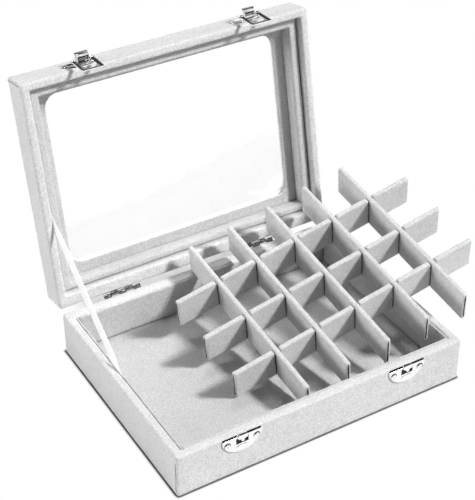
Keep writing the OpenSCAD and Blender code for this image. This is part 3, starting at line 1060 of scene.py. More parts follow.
@dataclass
class TrayShell:
    """The tray's four padded walls under one velvet cover."""

    build: Build
    sizes: CaseSizes
    padding: Padding = Padding(0.5, 16.0, 1.0)
    seam_low: float = 1.6
    seam_under_rim: float = 5.5
    foot_steps: int = 5
    nodes: tuple[str, ...] = ("tray_front_wall", "tray_back_wall", "tray_left_wall", "tray_right_wall")

    def section(self) -> Section:
        """The walls' section, from the foot up the outside and down the inside.

        Returns:
            Rings and heights.
        """
        s = self.sizes
        outside, inside = s.outside(), s.inside()
        top = s.tray_height - s.rim_radius
        found = arc_section(outside, 1, s.foot_radius, s.foot_radius, -90, 0, self.foot_steps)
        found += straight_section(outside, s.foot_radius, top, s.face_step)
        found += arc_section(outside, 1, s.rim_radius, top, 0, 90)
        found += arc_section(inside, -1, s.rim_radius, top, 90, 0)
        found += straight_section(inside, top, 0, s.hidden_step)
        return found + [(inside, 0.0)]

    def make(self) -> None:
        """Builds the walls and their corner seams."""
        palette = self.build.palette
        shell = RingLoft("tray_shell", self.section()).build()
        self.build.dress(shell, palette.shell, self.padding)
        self.build.place(shell, Body.TRAY, Slot.SHELL, *self.nodes)
        seam = Seam(self.sizes, self.seam_low, self.sizes.tray_height - self.seam_under_rim)
        self.build.place(seam.strip("tray_corner_seam"), Body.TRAY, Slot.SHELL, material=palette.seam)


@dataclass
class TrayLining:
    """The floor pad and the four liner boards."""

    build: Build
    liner: float = 1.6
    groove_depth: float = 0.5
    groove_width: float = 0.9
    step: float = 2.2
    face_steps: int = 12
    round_steps: int = 8
    floor_padding: Padding = Padding(0.5, 22.0, 2.0)
    liner_padding: Padding = Padding(0.35, 18.0, 3.0)

    def floor(self) -> Object:
        """The floor pad: flat, with its edge drawn down against the liners.

        Returns:
            The pad.
        """
        low, high = self.build.size("floor_pad")
        columns, rows = int((high.x - low.x) / self.step), int((high.y - low.y) / self.step)
        wide = columns + 1
        verts: list[Point] = []
        for top in (1, 0):
            for j in range(rows + 1):
                for i in range(wide):
                    x = low.x + (high.x - low.x) * i / columns
                    y = low.y + (high.y - low.y) * j / rows
                    edge = min(x - low.x, high.x - x, y - low.y, high.y - y) - self.liner
                    dip = self.groove_depth * math.exp(-((edge / self.groove_width) ** 2)) if top else 0.0
                    verts.append((x, y, (high.z if top else low.z) - dip))
        size = wide * (rows + 1)
        faces = quads(rows + 1, wide) + quads(rows + 1, wide, size)
        rim = [*range(wide), *(columns + j * wide for j in range(1, rows + 1))]
        rim += [rows * wide + i for i in range(columns - 1, -1, -1)]
        rim += [j * wide for j in range(rows - 1, 0, -1)]
        faces += [(a, b, b + size, a + size) for a, b in zip(rim, rim[1:] + rim[:1])]
        return from_points("floor_cushion", verts, faces)

    def liner_bar(self, node: str) -> Object:
        """A liner board, padded and rounded along its top edge.

        Args:
            node: The CAD node that it stands for.

        Returns:
            The liner.
        """
        low, high = self.build.size(node)
        along = 0 if high.x - low.x > high.y - low.y else 1
        length = high[along] - low[along]
        radius = (high[1 - along] - low[1 - along]) / 2
        middle = (high[1 - along] + low[1 - along]) / 2
        crown = high.z - radius
        face = [low.z + (crown - low.z) * k / self.face_steps for k in range(self.face_steps)]
        turns = [math.radians(180 - 180 * k / self.round_steps) for k in range(self.round_steps + 1)]
        outline = [(-radius, z) for z in face]
        outline += [(radius * math.cos(t), crown + radius * math.sin(t)) for t in turns]
        outline += [(radius, z) for z in reversed(face)]
        stations = int(length / self.step)
        verts: list[Point] = []
        for i in range(stations + 1):
            place = low[along] + length * i / stations
            for across, z in outline:
                verts.append((place, middle + across, z) if along == 0 else (middle + across, place, z))
        count = len(outline)
        faces = quads(stations + 1, count, ring=True)
        faces += [tuple(first + k for k in range(count)) for first in (0, stations * count)]
        return from_points(node.replace("liner_", "") + "_liner_pad", verts, faces)

    def make(self) -> None:
        """Builds the lining."""
        lining = self.build.palette.lining
        pad = self.floor()
        self.build.dress(pad, lining, self.floor_padding)
        self.build.place(pad, Body.TRAY, Slot.LINING, "floor_pad")
        for number, node in enumerate(("liner_front", "liner_back", "liner_left", "liner_right")):
            bar = self.liner_bar(node)
            self.build.dress(bar, lining, self.liner_padding.like(number))
            self.build.place(bar, Body.TRAY, Slot.LINING, node)


@dataclass
class LidShell:
    """The lid's four rails and its top, under one velvet cover."""

    build: Build
    sizes: CaseSizes
    lid: OpenLid
    top_thickness: float = 3.0
    edge_radius: float = 1.0
    crown_corner: float = 0.3
    round_steps: int = 8
    inside_step: float = 2.2
    top_steps: int = 9
    under_steps: int = 4
    padding: Padding = Padding(0.5, 16.0, 11.0)
    seam_low: float = 2.2
    seam_under_top: float = 1.5
    nodes: tuple[str, ...] = (
        "lid_front_rail",
        "lid_back_rail",
        "lid_left_rail",
        "lid_right_rail",
        "lid_top_frame",
    )

    def section(self) -> Section:
        """The section, from the inside of the rim round the outside to the window's edge.

        Returns:
            Rings and heights.
        """
        s = self.sizes
        outside, inside = s.outside(), s.inside()
        under, crown = s.lid_height - self.top_thickness, s.lid_height - s.crown_radius
        r, e = s.rim_radius, self.edge_radius
        edge = s.window.inset(-e)
        found = straight_section(inside, under, r, self.inside_step)
        found += upside_down(arc_section(inside, -1, r, -r, 0, 90) + arc_section(outside, 1, r, -r, 90, 0))
        found += straight_section(outside, r, crown, s.face_step)
        found += arc_section(outside, 1, s.crown_radius, crown, 0, 90, self.round_steps)
        start = outside.inset(s.crown_radius, self.crown_corner)
        found += [(start.towards(edge, k / self.top_steps), s.lid_height) for k in range(1, self.top_steps)]
        found += arc_section(s.window, -1, e, s.lid_height - e, 90, -60, self.round_steps)
        found += [(edge.towards(inside, k / self.under_steps), under) for k in range(1, self.under_steps)]
        return found + [(inside, under)]

    def make(self) -> None:
        """Builds the shell and its corner seams."""
        palette = self.build.palette
        shell = self.lid.turn(RingLoft("lid_shell", self.section()).build())
        self.build.dress(shell, palette.shell, self.padding)
        self.build.place(shell, Body.LID, Slot.SHELL, *self.nodes)
        seam = Seam(self.sizes, self.seam_low, self.sizes.lid_height - self.seam_under_top)
        strip = self.lid.turn(seam.strip("lid_corner_seam"))
        self.build.place(strip, Body.LID, Slot.SHELL, material=palette.seam)


@dataclass
class LidLining:
    """The inner frame and the window panel."""

    build: Build
    sizes: CaseSizes
    lid: OpenLid
    groove: float = 0.5
    rim_at: float = 5.0
    panel_at: float = 15.0
    panel: float = 1.5
    frame_wall: float = 6.0
    frame_back: float = 4.5
    frame_radii: Pair = (0.8, 0.6)
    pucker: float = 0.28
    pucker_count: int = 7
    pucker_reach: float = 5.0
    panel_steps: tuple[int, int, int] = (96, 72, 18)
    face_rings: int = 10
    back_rings: int = 4
    edge_turn: int = 22
    frame_padding: Padding = Padding(0.45, 15.0, 21.0)
    panel_padding: Padding = Padding(0.12, 15.0, 22.0)
    frame_nodes: tuple[str, ...] = ("lid_inner_front", "lid_inner_back", "lid_inner_left", "lid_inner_right")

    def frame_section(self) -> Section:
        """The inner frame's section, rim first.

        Returns:
            Rings and heights.
        """
        outer_radius, inner_radius = self.frame_radii
        o, r = self.sizes.inside().inset(self.groove, outer_radius), self.sizes.rim_radius
        wall, back = self.frame_wall, self.frame_back
        inner = Ring(o.left + wall, o.right - wall, o.front + wall, o.back - back, inner_radius)
        centre = self.rim_at + r
        found = upside_down(arc_section(o, 1, r, -centre, 0, 90) + arc_section(inner, -1, r, -centre, 90, 0))
        found += straight_section(inner, centre, self.panel_at, self.sizes.face_step)
        found += [(inner, self.panel_at), (o, self.panel_at)]
        return found + straight_section(o, self.panel_at, centre, self.sizes.hidden_step)

    def puckers(self, x: float, y: float, z: float) -> Point:
        """Draws the velvet into small folds round the window's corners.

        Args:
            x: Place across the lid.
            y: Place along the lid.
            z: Height above the lid's rim.

        Returns:
            The moved point.
        """
        w = self.sizes.window
        centre_x = w.right - w.radius if x > 0 else w.left + w.radius
        centre_y = w.back - w.radius if y > (w.front + w.back) / 2 else w.front + w.radius
        dx, dy = abs(x) - abs(centre_x), (y - centre_y) * (1 if centre_y > 0 else -1)
        if z > self.panel_at + self.panel / 2 or dx <= 0 or dy <= 0:
            return (x, y, z)
        angle = math.atan2(dy, dx) / (math.pi / 2)
        away = (math.hypot(dx, dy) - w.radius) / self.pucker_reach
        fade = math.sin(math.pi * angle) * math.exp(-(away**2))
        return (x, y, z + self.pucker * fade * math.sin(2 * math.pi * self.pucker_count * angle / 2))

    def panel_section(self) -> Section:
        """The window panel's section, its face first.

        Returns:
            Rings and heights.
        """
        outer, window, r = self.sizes.inside(), self.sizes.window, self.panel / 2
        edge = window.inset(-r)
        face, back = self.face_rings, self.back_rings
        found = [(outer.towards(edge, k / face), self.panel_at) for k in range(face)]
        for turn in (math.radians(a) for a in range(-90, 91, self.edge_turn)):
            found.append((window.inset(-r + r * math.cos(turn)), self.panel_at + r + r * math.sin(turn)))
        top = self.panel_at + self.panel
        return found + [(edge.towards(outer, k / back), top) for k in range(back + 1)]

    def make(self) -> None:
        """Builds the lining."""
        frame = RingLoft("lid_inner_frame", self.frame_section())
        panel = RingLoft("window_panel_cover", self.panel_section(), self.panel_steps, self.puckers)
        for loft, padding, nodes in (
            (frame, self.frame_padding, self.frame_nodes),
            (panel, self.panel_padding, ("window_panel",)),
        ):
            obj = self.lid.turn(loft.build())
            self.build.dress(obj, self.build.palette.lid_lining, padding)
            self.build.place(obj, Body.LID, Slot.LID_LINING, *nodes)


@dataclass
class DividerInsert:
    """The leaning lattice of half-lapped boards, with card showing at the board ends."""

    build: Build
    boards: tuple[str, ...] = tuple(f"divider_board_{i}" for i in range(1, 6))
    cross_boards: tuple[str, ...] = tuple(f"cross_board_{c}" for c in "abc")
    voxel: float = 0.55
    smoothing: int = 4
    padding: Padding = Padding(0.35, 14.0, 31.0)
    slope: Pair = (0.18276, 0.19563)
    yaw: float = 0.63
    card: Pair = (0.95, 0.24)
    lap_shade: Pair = (0.9, 0.3)
    slit_margin: float = 1.3
    slit_root: float = -0.25
    slit_uneven: float = 0.35
    slit_waves: Pair = (17.0, 7.0)
    slit_squareness: int = 10
    slit_tip: float = 0.02
    slit_face: float = 0.75
    slit_rows: int = 14

    def board_frame(self, node: str) -> tuple[Vector, Vector, Vector, Vector]:
        """Where a board lies: its middle, and its length, height and thickness directions.

        Args:
            node: The board's node.

        Returns:
            Middle and the three half extents, in millimetres.
        """
        points = [v.co / MM for v in self.build.frame["nodes"][node].data.vertices]
        slope_x, slope_y = self.slope
        turn = Matrix.Rotation(-math.atan(slope_x), 3, "Y")
        turn @= Matrix.Rotation(math.asin(slope_y / math.sqrt(1 + slope_x**2 + slope_y**2)), 3, "X")
        turn @= Matrix.Rotation(math.radians(self.yaw), 3, "Z")
        along = turn @ Vector((0, 1, 0) if node in self.boards else (1, 0, 0))
        up = turn @ Vector((0, 0, 1))
        axes = (along, up, along.cross(up))
        spans = [(min(p.dot(a) for p in points), max(p.dot(a) for p in points)) for a in axes]
        middle = sum((a * (low + high) / 2 for a, (low, high) in zip(axes, spans)), Vector())
        return (middle, *(a * ((high - low) / 2) for a, (low, high) in zip(axes, spans)))

    def slit(self, half_height: float, full_width: float, proud: float) -> Object:
        """A thin dark strip of uneven width: a card's edge, or painted shade in a lap joint's corner.

        Args:
            half_height: Half the board's height.
            full_width: The strip's width.
            proud: How far its face stands out.

        Returns:
            The strip, facing +Z, its height along X.
        """
        verts: list[Point] = []
        reach = half_height - self.slit_margin
        first, second = self.slit_waves
        for k in range(self.slit_rows + 1):
            share = k / self.slit_rows
            wave = self.slit_uneven * math.sin(first * share) * math.cos(second * share)
            width = full_width / 2 * (1 + wave)
            width *= math.sqrt(max(1 - (2 * share - 1) ** self.slit_squareness, self.slit_tip))
            x = -reach + 2 * reach * share
            face, root = width * self.slit_face, self.slit_root
            verts += [(x, -width, root), (x, -face, proud), (x, face, proud), (x, width, root)]
        return from_points("card_slit_shape", verts, quads(self.slit_rows + 1, 4))

    def make(self) -> None:
        """Builds the boards, the card edges at their ends and strips of painted shade in the corners of their
        laps.
        """
        palette = self.build.palette
        ends: list[Spot] = []
        nodes = self.boards + self.cross_boards
        for number, node in enumerate(nodes):
            board = soft_copy(self.build.frame, node, node + "_velvet", self.voxel, self.smoothing)
            self.build.dress(board, palette.divider, self.padding.like(number))
            self.build.place(board, Body.DIVIDER, Slot.DIVIDER, node)
            middle, along, up, _ = self.board_frame(node)
            ends += [(middle + along * end, along.normalized() * end, up.normalized()) for end in (-1, 1)]
        half_height = self.board_frame(nodes[-1])[2].length
        for name, size, spots, material in (
            ("board_card_edges", self.card, ends, palette.card),
            # Strips of painted shade in the lap joints' corners, where the cells fall dark
            ("lap_corner_gaps", self.lap_shade, self.lap_corners(), palette.seam),
        ):
            piece = self.build.repeat(name, self.slit(half_height, *size), spots, material)
            self.build.place(piece, Body.DIVIDER, Slot.DIVIDER)

    def lap_corners(self) -> list[Spot]:
        """The four upright corners of each lap joint, facing out into the cells.

        Returns:
            Place, facing and upright direction of each corner.
        """
        found = []
        for node in self.boards:
            middle, along, up, across = self.board_frame(node)
            run = along.normalized()
            for cross_node in self.cross_boards:
                other, _, _, other_across = self.board_frame(cross_node)
                centre = middle + run * (other - middle).dot(run)
                for u, v in ((-1, -1), (-1, 1), (1, -1), (1, 1)):
                    facing = (across.normalized() * u + other_across.normalized() * v).normalized()
                    found.append((centre + across * u + other_across * v, facing, up.normalized()))
        return found


@dataclass
class RibbonStay:
    """The satin ribbon that holds the lid open, glued at both ends."""

    build: Build
    rows: int = 150
    columns: int = 6
    cup: float = 0.12
    twist: float = 24.0
    rise: Pair = (0.012, 0.09)
    fall: Pair = (0.78, 0.96)
    tab_bevel: float = 0.08

    def turn_at(self, share: float) -> float:
        """How far the ribbon is twisted about its length, in radians, at a share of the way up."""
        rise, fall = smooth_step(*self.rise, share), 1 - smooth_step(*self.fall, share)
        return math.radians(self.twist) * rise * fall

    def drawn(self, start: Vector, along: Vector, across: Vector, width: float, thick: float) -> Object:
        """Draws the ribbon as a thin closed sheet, twisted and a little cupped.

        Args:
            start: Middle of its lower end.
            along: Its run to the upper end.
            across: Its unit direction across.
            width: Its width.
            thick: Its thickness.

        Returns:
            The ribbon.
        """
        flat = Vector((1, 0, 0))
        verts: list[Vector] = []
        for face in (thick / 2, -thick / 2):
            for k in range(self.rows + 1):
                share = k / self.rows
                angle = self.turn_at(share)
                wide = across * math.cos(angle) + flat * math.sin(angle)
                out = flat * math.cos(angle) - across * math.sin(angle)
                for c in range(self.columns + 1):
                    side = 2 * c / self.columns - 1
                    bow = self.cup * (1 - side * side) * math.sin(math.pi * share)
                    verts.append(start + along * share + wide * (width / 2 * side) + out * (face + bow))
        span = self.columns + 1
        sheet = span * (self.rows + 1)
        faces = quads(self.rows + 1, span) + quads(self.rows + 1, span, sheet)
        sides = [(k * span + c, span) for k in range(self.rows) for c in (0, self.columns)]
        sides += [(k * span + c, 1) for k in (0, self.rows) for c in range(self.columns)]
        faces += [(a, a + step, a + step + sheet, a + sheet) for a, step in sides]
        return from_points("satin_stay", verts, faces)

    def make(self) -> None:
        """Builds the taut ribbon, twisted and a little cupped, and its two glued ends."""
        low, high = self.build.size("stay_ribbon")
        mesh = self.build.frame["nodes"]["stay_ribbon"].data
        corners = sorted((v.co / MM for v in mesh.vertices), key=lambda p: p.y + p.z)
        half = len(corners) // 2
        start = sum(corners[:half], Vector()) / half
        end = sum(corners[half:], Vector()) / (len(corners) - half)
        along = end - start
        across = Vector((0, -along.z, along.y)).normalized()
        width = max((p - start).dot(across) for p in corners) * 2
        ribbon = self.drawn(start, along, across, width, high.x - low.x)
        self.lay_threads(ribbon, start, along, across)
        ribbon.data.materials.append(self.build.palette.ribbon)
        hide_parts("stay_ribbon")
        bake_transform(ribbon)
        LOG.info("satin_stay: %.1f by %.1f mm", along.length, width)
        for node, body in (("stay_tab_tray", Body.TRAY), ("stay_tab_lid", Body.LID)):
            tab = soften_edges(merged_copy(self.build.frame, node, node + "_satin"), self.tab_bevel)
            self.lay_threads(tab, start, along, across)
            self.build.place(tab, body, Slot.RIBBON, node, material=self.build.palette.ribbon)

    def lay_threads(self, obj: Object, start: Vector, along: Vector, across: Vector) -> None:
        """Gives a piece a UV map in metres: u across the ribbon, v along it.

        Args:
            obj: The piece.
            start: Where both are zero.
            along: The ribbon's run.
            across: Its unit direction across.
        """
        layer = obj.data.uv_layers[0] if obj.data.uv_layers else obj.data.uv_layers.new(name="UVMap")
        run = along.normalized()
        for loop in obj.data.loops:
            place = obj.data.vertices[loop.vertex_index].co / MM - start
            layer.data[loop.index].uv = (place.dot(across) * MM, place.dot(run) * MM)


@dataclass
class Hardware:
    """The chromed fittings: hinges, catches, latches and their nails."""

    build: Build
    lid: OpenLid
    bevels: tuple[tuple[float, str], ...] = (
        (0.1, "catch_plates"),
        (0.08, "hinge_tray_leaves hinge_lid_leaves"),
        (0.2, "latch_bases"),
        (0.16, "left_lever right_lever"),
        (0.14, "left_bail right_bail"),
        (0.1, "hinge_pins latch_pins left_bail_pin right_bail_pin"),
        (0.06, "hinge_nails_tray hinge_nails_lid"),
    )
    # Hinges: what is the tray's and what the lid's, and how far leaves and barrels are drawn in
    tray_side: tuple[str, ...] = ("hinge_tray_leaves", "hinge_nails_tray")
    lid_side: tuple[str, ...] = ("hinge_lid_leaves", "hinge_nails_lid")
    cut_y: float = 75.35
    cut_play: float = 0.01
    sunk_by: float = 0.95
    barrel_share: float = 0.84
    # Places of the latches and of the plates' faces
    latch_x: float = 58.0
    case_front: float = 75.0
    plate_face: float = 75.8
    # Levers: the pin's height and distance out, the sheet, the mouth, the brow and the block of painted shade
    # inside
    lever_pin: Pair = (3.6, 2.0)
    lever_half_w: float = 4.3
    lever_sheet: float = 0.7
    lever_below: float = 3.0
    mouth: Pair = (1.2, 5.0)
    mouth_play: Pair = (0.4, 0.1)
    brow: Pair = (5.9, 1.6)
    lean_back: float = 2.1
    mouth_shade_out: Pair = (3.3, 6.2)
    mouth_shade_up: Pair = (-1.2, 0.6)
    mouth_shade_play: float = 0.02
    # Nails: distance from the plate's middle and height, then radius and height down a nail's profile
    catch_nail: Pair = (9.75, 23.97)
    catch_nail_spread: float = 1.38
    latch_nail: Pair = (9.0, 6.7)
    nail_steps: int = 20
    nail_dome: tuple[Pair, ...] = ((0.0, 0.1), (0.2, 0.13), (0.4, 0.5), (0.6, 0.62), (0.9, 0.58))
    nail_edge: tuple[Pair, ...] = ((1.2, 0.36), (1.36, 0.12), (1.4, 0.0), (1.4, -0.04))
    nail_shank: tuple[Pair, ...] = ((0.5, -0.06), (0.5, -3.2), (0.0, -3.5))
    # Thin discs of painted shade behind the catches' nails, which show as dark crescents above the heads
    rim_radius: float = 2.2
    shade_disc_faces: Pair = (-0.1, 0.07)
    shade_disc_lift: float = 0.42
    shade_disc_steps: int = 28
    # Catches: the dome's half width, rise and half height, the slot's painted shade, the painted shadow line
    # along the plate's top and the tongue
    dome: Point = (4.3, 0.8, 2.6)
    dome_z: float = 19.6
    dome_root: float = 0.1
    dome_rows: int = 10
    dome_steps: int = 28
    slot_shade_corners: tuple[Point, Point] = ((-4.0, -75.86, 22.9), (4.2, -75.2, 26.95))
    press_shadow_corners: tuple[Point, Point] = ((-12.6, -75.5, 28.25), (12.6, -74.6, 29.2))
    tongue_share: float = 0.62
    tongue_front: float = 76.3
    tongue_top: float = 26.7

    def sink(self, obj: Object, on_lid: bool) -> None:
        """Lets a hinge leaf in under the velvet of its rim, so that only the knuckles show.

        Args:
            obj: The copied leaf or its nails.
            on_lid: Whether it is the lid's.
        """
        lift = self.sunk_by if on_lid else -self.sunk_by
        with self.lid.closed(obj, on_lid):
            work = bmesh.new()
            work.from_mesh(obj.data)
            everything = work.verts[:] + work.edges[:] + work.faces[:]
            cut_at = (0, self.cut_y * MM, 0)
            bmesh.ops.bisect_plane(work, geom=everything, plane_co=cut_at, plane_no=(0, 1, 0))
            for vert in work.verts:
                if vert.co.y <= (self.cut_y + self.cut_play) * MM:
                    vert.co.z += lift * MM
            work.to_mesh(obj.data)
            work.free()

    def slim(self, obj: Object, on_lid: bool) -> None:
        """Draws a hinge's barrel in towards its pin, as the fine real barrel is.

        Args:
            obj: The copied piece.
            on_lid: Whether it is the lid's.
        """
        axis_y, axis_z = self.lid.hinge_y, self.lid.hinge_z - (self.lid.rim_z if on_lid else 0.0)
        with self.lid.closed(obj, on_lid):
            for vert in obj.data.vertices:
                if vert.co.y > self.cut_y * MM:
                    vert.co.y = (axis_y + (vert.co.y / MM - axis_y) * self.barrel_share) * MM
                    vert.co.z = (axis_z + (vert.co.z / MM - axis_z) * self.barrel_share) * MM

    def narrow_tongue(self, obj: Object) -> None:
        """Narrows the catch hooks' tongues, which stand out of the plates.

        Args:
            obj: The copied plates.
        """
        for vert in obj.data.vertices:
            x, y, z = (c / MM for c in vert.co)
            if y < -self.tongue_front and z < self.tongue_top:
                centre_x = math.copysign(self.latch_x, x)
                vert.co.x = (centre_x + (x - centre_x) * self.tongue_share) * MM

    def nail(self, spread: float) -> Object:
        """A domed nail with a struck dimple, its head to +Z and spread by a factor."""
        profile = self.nail_dome + self.nail_edge + self.nail_shank
        verts = [p for r, z in profile for p in circle(spread * r, z, self.nail_steps)]
        return from_points("nail_shape", verts, quads(len(profile), self.nail_steps, ring=True))

    def nail_shade_disc(self) -> Object:
        """A thin disc of painted shade behind a catch nail, which shows as a dark crescent above the head.

        Returns:
            The disc, its face to +Z.
        """
        steps = self.shade_disc_steps
        verts = [p for z in self.shade_disc_faces for p in circle(self.rim_radius, z, steps)]
        faces = quads(2, steps, ring=True) + [tuple(range(steps)), tuple(range(steps, 2 * steps))]
        return from_points("nail_rim_shape", verts, faces)

    def nail_spots(self, across: float, height: float) -> list[Spot]:
        """Two spots on the face of each left and right plate, with the lid closed.

        Args:
            across: Distance from the plate's middle.
            height: Height of both.

        Returns:
            Place, facing and side direction of each spot.
        """
        places = [lx * self.latch_x + nx * across for lx in (-1, 1) for nx in (-1, 1)]
        out, side = Vector((0, -1, 0)), Vector((1, 0, 0))
        return [(Vector((x, -self.plate_face, height)), out, side) for x in places]

    def nails(self) -> None:
        """Drives the catches' and the latches' nails, by Geometry Nodes."""
        build, palette = self.build, self.build.palette
        spots = self.nail_spots(*self.catch_nail)
        piece = build.repeat("catch_nails_plated", self.nail(self.catch_nail_spread), spots, palette.chrome)
        build.place(piece, Body.TRAY, Slot.CHROME, "catch_nails")
        # Discs of painted shade, lifted a little behind the catch nails, show as dark crescents above the
        # heads
        for place, _, _ in spots:
            place.z += self.shade_disc_lift
        shade_discs = build.repeat("catch_nail_rims", self.nail_shade_disc(), spots, palette.painted_shade_steel)
        build.place(shade_discs, Body.TRAY, Slot.CHROME)
        opened = self.lid.matrix()
        spots = [
            ((opened @ (place * MM)) / MM, opened.to_3x3() @ facing, side)
            for place, facing, side in self.nail_spots(*self.latch_nail)
        ]
        piece = build.repeat("latch_nails_plated", self.nail(1.0), spots, palette.chrome)
        build.place(piece, Body.LID, Slot.CHROME, "latch_nails")

    def open_mouth(self, obj: Object, centre_x: float) -> None:
        """Opens a lever's front below its brow and leans the brow back.

        Args:
            obj: The copied lever.
            centre_x: Where the latch stands.
        """
        up, out = self.lever_pin
        inside = self.lever_half_w - self.lever_sheet
        face = self.case_front + out
        near, far = self.mouth
        low = up - self.lever_below - self.mouth_play[0]
        high = up - self.lever_below + self.lever_sheet + self.mouth_play[1]
        brow_out, brow_below = self.brow
        with self.lid.closed(obj):
            cutter = block("mouth", centre_x, (-inside, -face - far, low), (inside, -face - near, high))
            cut = obj.modifiers.new("cut", "BOOLEAN")
            cut.operation = "DIFFERENCE"
            cut.solver = "EXACT"
            cut.object = cutter
            apply_modifiers(obj)
            bpy.data.objects.remove(cutter)
            for vert in obj.data.vertices:
                if -vert.co.y / MM - face > brow_out and vert.co.z / MM < up - brow_below:
                    vert.co.z += self.lean_back * MM

    def core(self, name: str, centre_x: float) -> Object:
        """A block of painted shade inside a lever, behind its mouth.

        Args:
            name: The piece's name.
            centre_x: Where the latch stands.

        Returns:
            The piece.
        """
        up, out = self.lever_pin
        inside = self.lever_half_w - self.lever_sheet - self.mouth_shade_play
        face = -self.case_front - out
        near, far = self.mouth_shade_out
        low, high = self.mouth_shade_up
        made = block(name, centre_x, (-inside, face - far, up + low), (inside, face - near, up + high))
        made.data.shade_flat()
        return self.lid.turn(made)

    def catch_domes(self) -> None:
        """Presses the domes below the catches' hooks."""
        verts: list[Point] = []
        faces: Faces = []
        wide, out, high = self.dome
        rows, steps = self.dome_rows, self.dome_steps
        for centre_x in (-self.latch_x, self.latch_x):
            base = len(verts)
            for j in range(rows + 1):
                rise = math.radians(90 * j / rows)
                y = self.dome_root - self.plate_face - out * math.sin(rise)
                for k in range(steps):
                    turn = 2 * math.pi * k / steps
                    x = centre_x + wide * math.cos(rise) * math.cos(turn)
                    verts.append((x, y, self.dome_z + high * math.cos(rise) * math.sin(turn)))
            faces += quads(rows + 1, steps, base, ring=True) + [tuple(base + k for k in range(steps))]
        domes = from_points("catch_domes", verts, faces)
        self.build.place(domes, Body.TRAY, Slot.CHROME, material=self.build.palette.chrome)

    def catch_slot_shades(self) -> None:
        """Sets painted shade in the slots that the bails enter, and painted shadow lines along the plates'
        top edges.
        """
        dark = self.build.palette.painted_shade_steel
        for side, centre_x in (("left", -self.latch_x), ("right", self.latch_x)):
            # Near-black blocks: painted shade in each slot, and a painted shadow line along each plate's top
            # edge
            slot = block(f"{side}_catch_slot", centre_x, *self.slot_shade_corners)
            slot.data.shade_flat()
            self.build.place(slot, Body.TRAY, Slot.CHROME, material=dark)
            press = block(f"{side}_catch_press_line", centre_x, *self.press_shadow_corners)
            self.build.place(press, Body.TRAY, Slot.SHELL, material=dark)

    def make(self) -> None:
        """Copies each fitting, softens its edges and plates it."""
        palette = self.build.palette
        bodies = self.build.frame["record"]["behaviour"]["bodies"]
        owner = {node: Body(body) for body, nodes in bodies.items() for node in nodes}
        for width, node in ((width, node) for width, nodes in self.bevels for node in nodes.split()):
            piece = soften_edges(merged_copy(self.build.frame, node, node + "_plated"), width)
            if node in self.tray_side + self.lid_side:
                self.sink(piece, node in self.lid_side)
            if node.startswith("hinge"):
                self.slim(piece, node in self.lid_side)
            if node == "catch_plates":
                self.narrow_tongue(piece)
            if node.endswith("_lever"):
                centre_x = self.latch_x * (-1 if node.startswith("left") else 1)
                self.open_mouth(piece, centre_x)
                # A near-black block of painted shade fills each lever's mouth
                core = self.core(node + "_inside", centre_x)
                self.build.place(core, owner[node], Slot.CHROME, material=palette.painted_shade_steel)
            # Hinges and pins take the darker steel: partly painted reflection
            dull = node.startswith("hinge") or "pin" in node
            finish = palette.hinge_steel_dark_reflection if dull else palette.chrome
            self.build.place(piece, owner[node], Slot.CHROME, node, material=finish)
        self.nails()
        self.catch_domes()
        self.catch_slot_shades()


@dataclass
class PlainPieces:
    """The CAD nodes that keep their own shape and take a finish: the boards and the glass."""

    build: Build

    def make(self) -> None:
        """Puts the finishes on the nodes."""
        p = self.build.palette
        for node, material in (("base_board", p.board), ("base_cover", p.felt), ("glass_pane", p.glass)):
            mesh = self.build.frame["nodes"][node].data
            mesh.materials.clear()
            mesh.materials.append(material)
            LOG.info("%s keeps its shape and takes %s", node, material.name)


# Studio


def direction(azimuth: float, elevation: float) -> Vector:
    """The unit direction at an azimuth, anticlockwise from +X, and an elevation, in degrees."""
    turn, rise = math.radians(azimuth), math.radians(elevation)
    return Vector((math.cos(turn) * math.cos(rise), math.sin(turn) * math.cos(rise), math.sin(rise)))


@dataclass
class Camera:
    """The camera that the photograph's corners gave."""

    azimuth: float = -30.809
    elevation: float = 35.844
    roll: float = 0.098
    place: Point = (-344.034, -550.509, 558.213)
    focal_pixels: float = 1340.548
    frame_height: float = 500.0
    sensor: float = 36.0
    clip: Pair = (0.01, 20.0)

    def make(self) -> None:
        """Adds the camera and makes it the scene's."""
        data = bpy.data.cameras.new("camera")
        data.sensor_width = self.sensor
        data.sensor_fit = "AUTO"
        data.lens = self.focal_pixels * self.sensor / self.frame_height
        data.clip_start, data.clip_end = self.clip
        a, e = math.radians(self.azimuth), math.radians(self.elevation)
        ahead = -Vector((math.sin(a) * math.cos(e), -math.cos(a) * math.cos(e), math.sin(e)))
        turn = ahead.to_track_quat("-Z", "Y").to_matrix().to_4x4()
        spin = Matrix.Rotation(math.radians(-self.roll), 4, "Z")
        obj = linked_object("camera", data)
        obj.matrix_world = Matrix.Translation(Vector(self.place) * MM) @ turn @ spin
        bpy.context.scene.camera = obj


@dataclass(frozen=True)
class Lamp:
    """A distant lamp: where its light comes from, how strong it is and how soft."""

    name: str
    azimuth: float
    elevation: float
    strength: float
    softness: float

    def make(self) -> None:
        """Adds the lamp."""
        data = bpy.data.lights.new(self.name, "SUN")
        data.energy = self.strength * math.pi
        data.angle = math.radians(self.softness)
        obj = linked_object(self.name, data)
        obj.rotation_euler = direction(self.azimuth, self.elevation).to_track_quat("Z", "Y").to_euler()


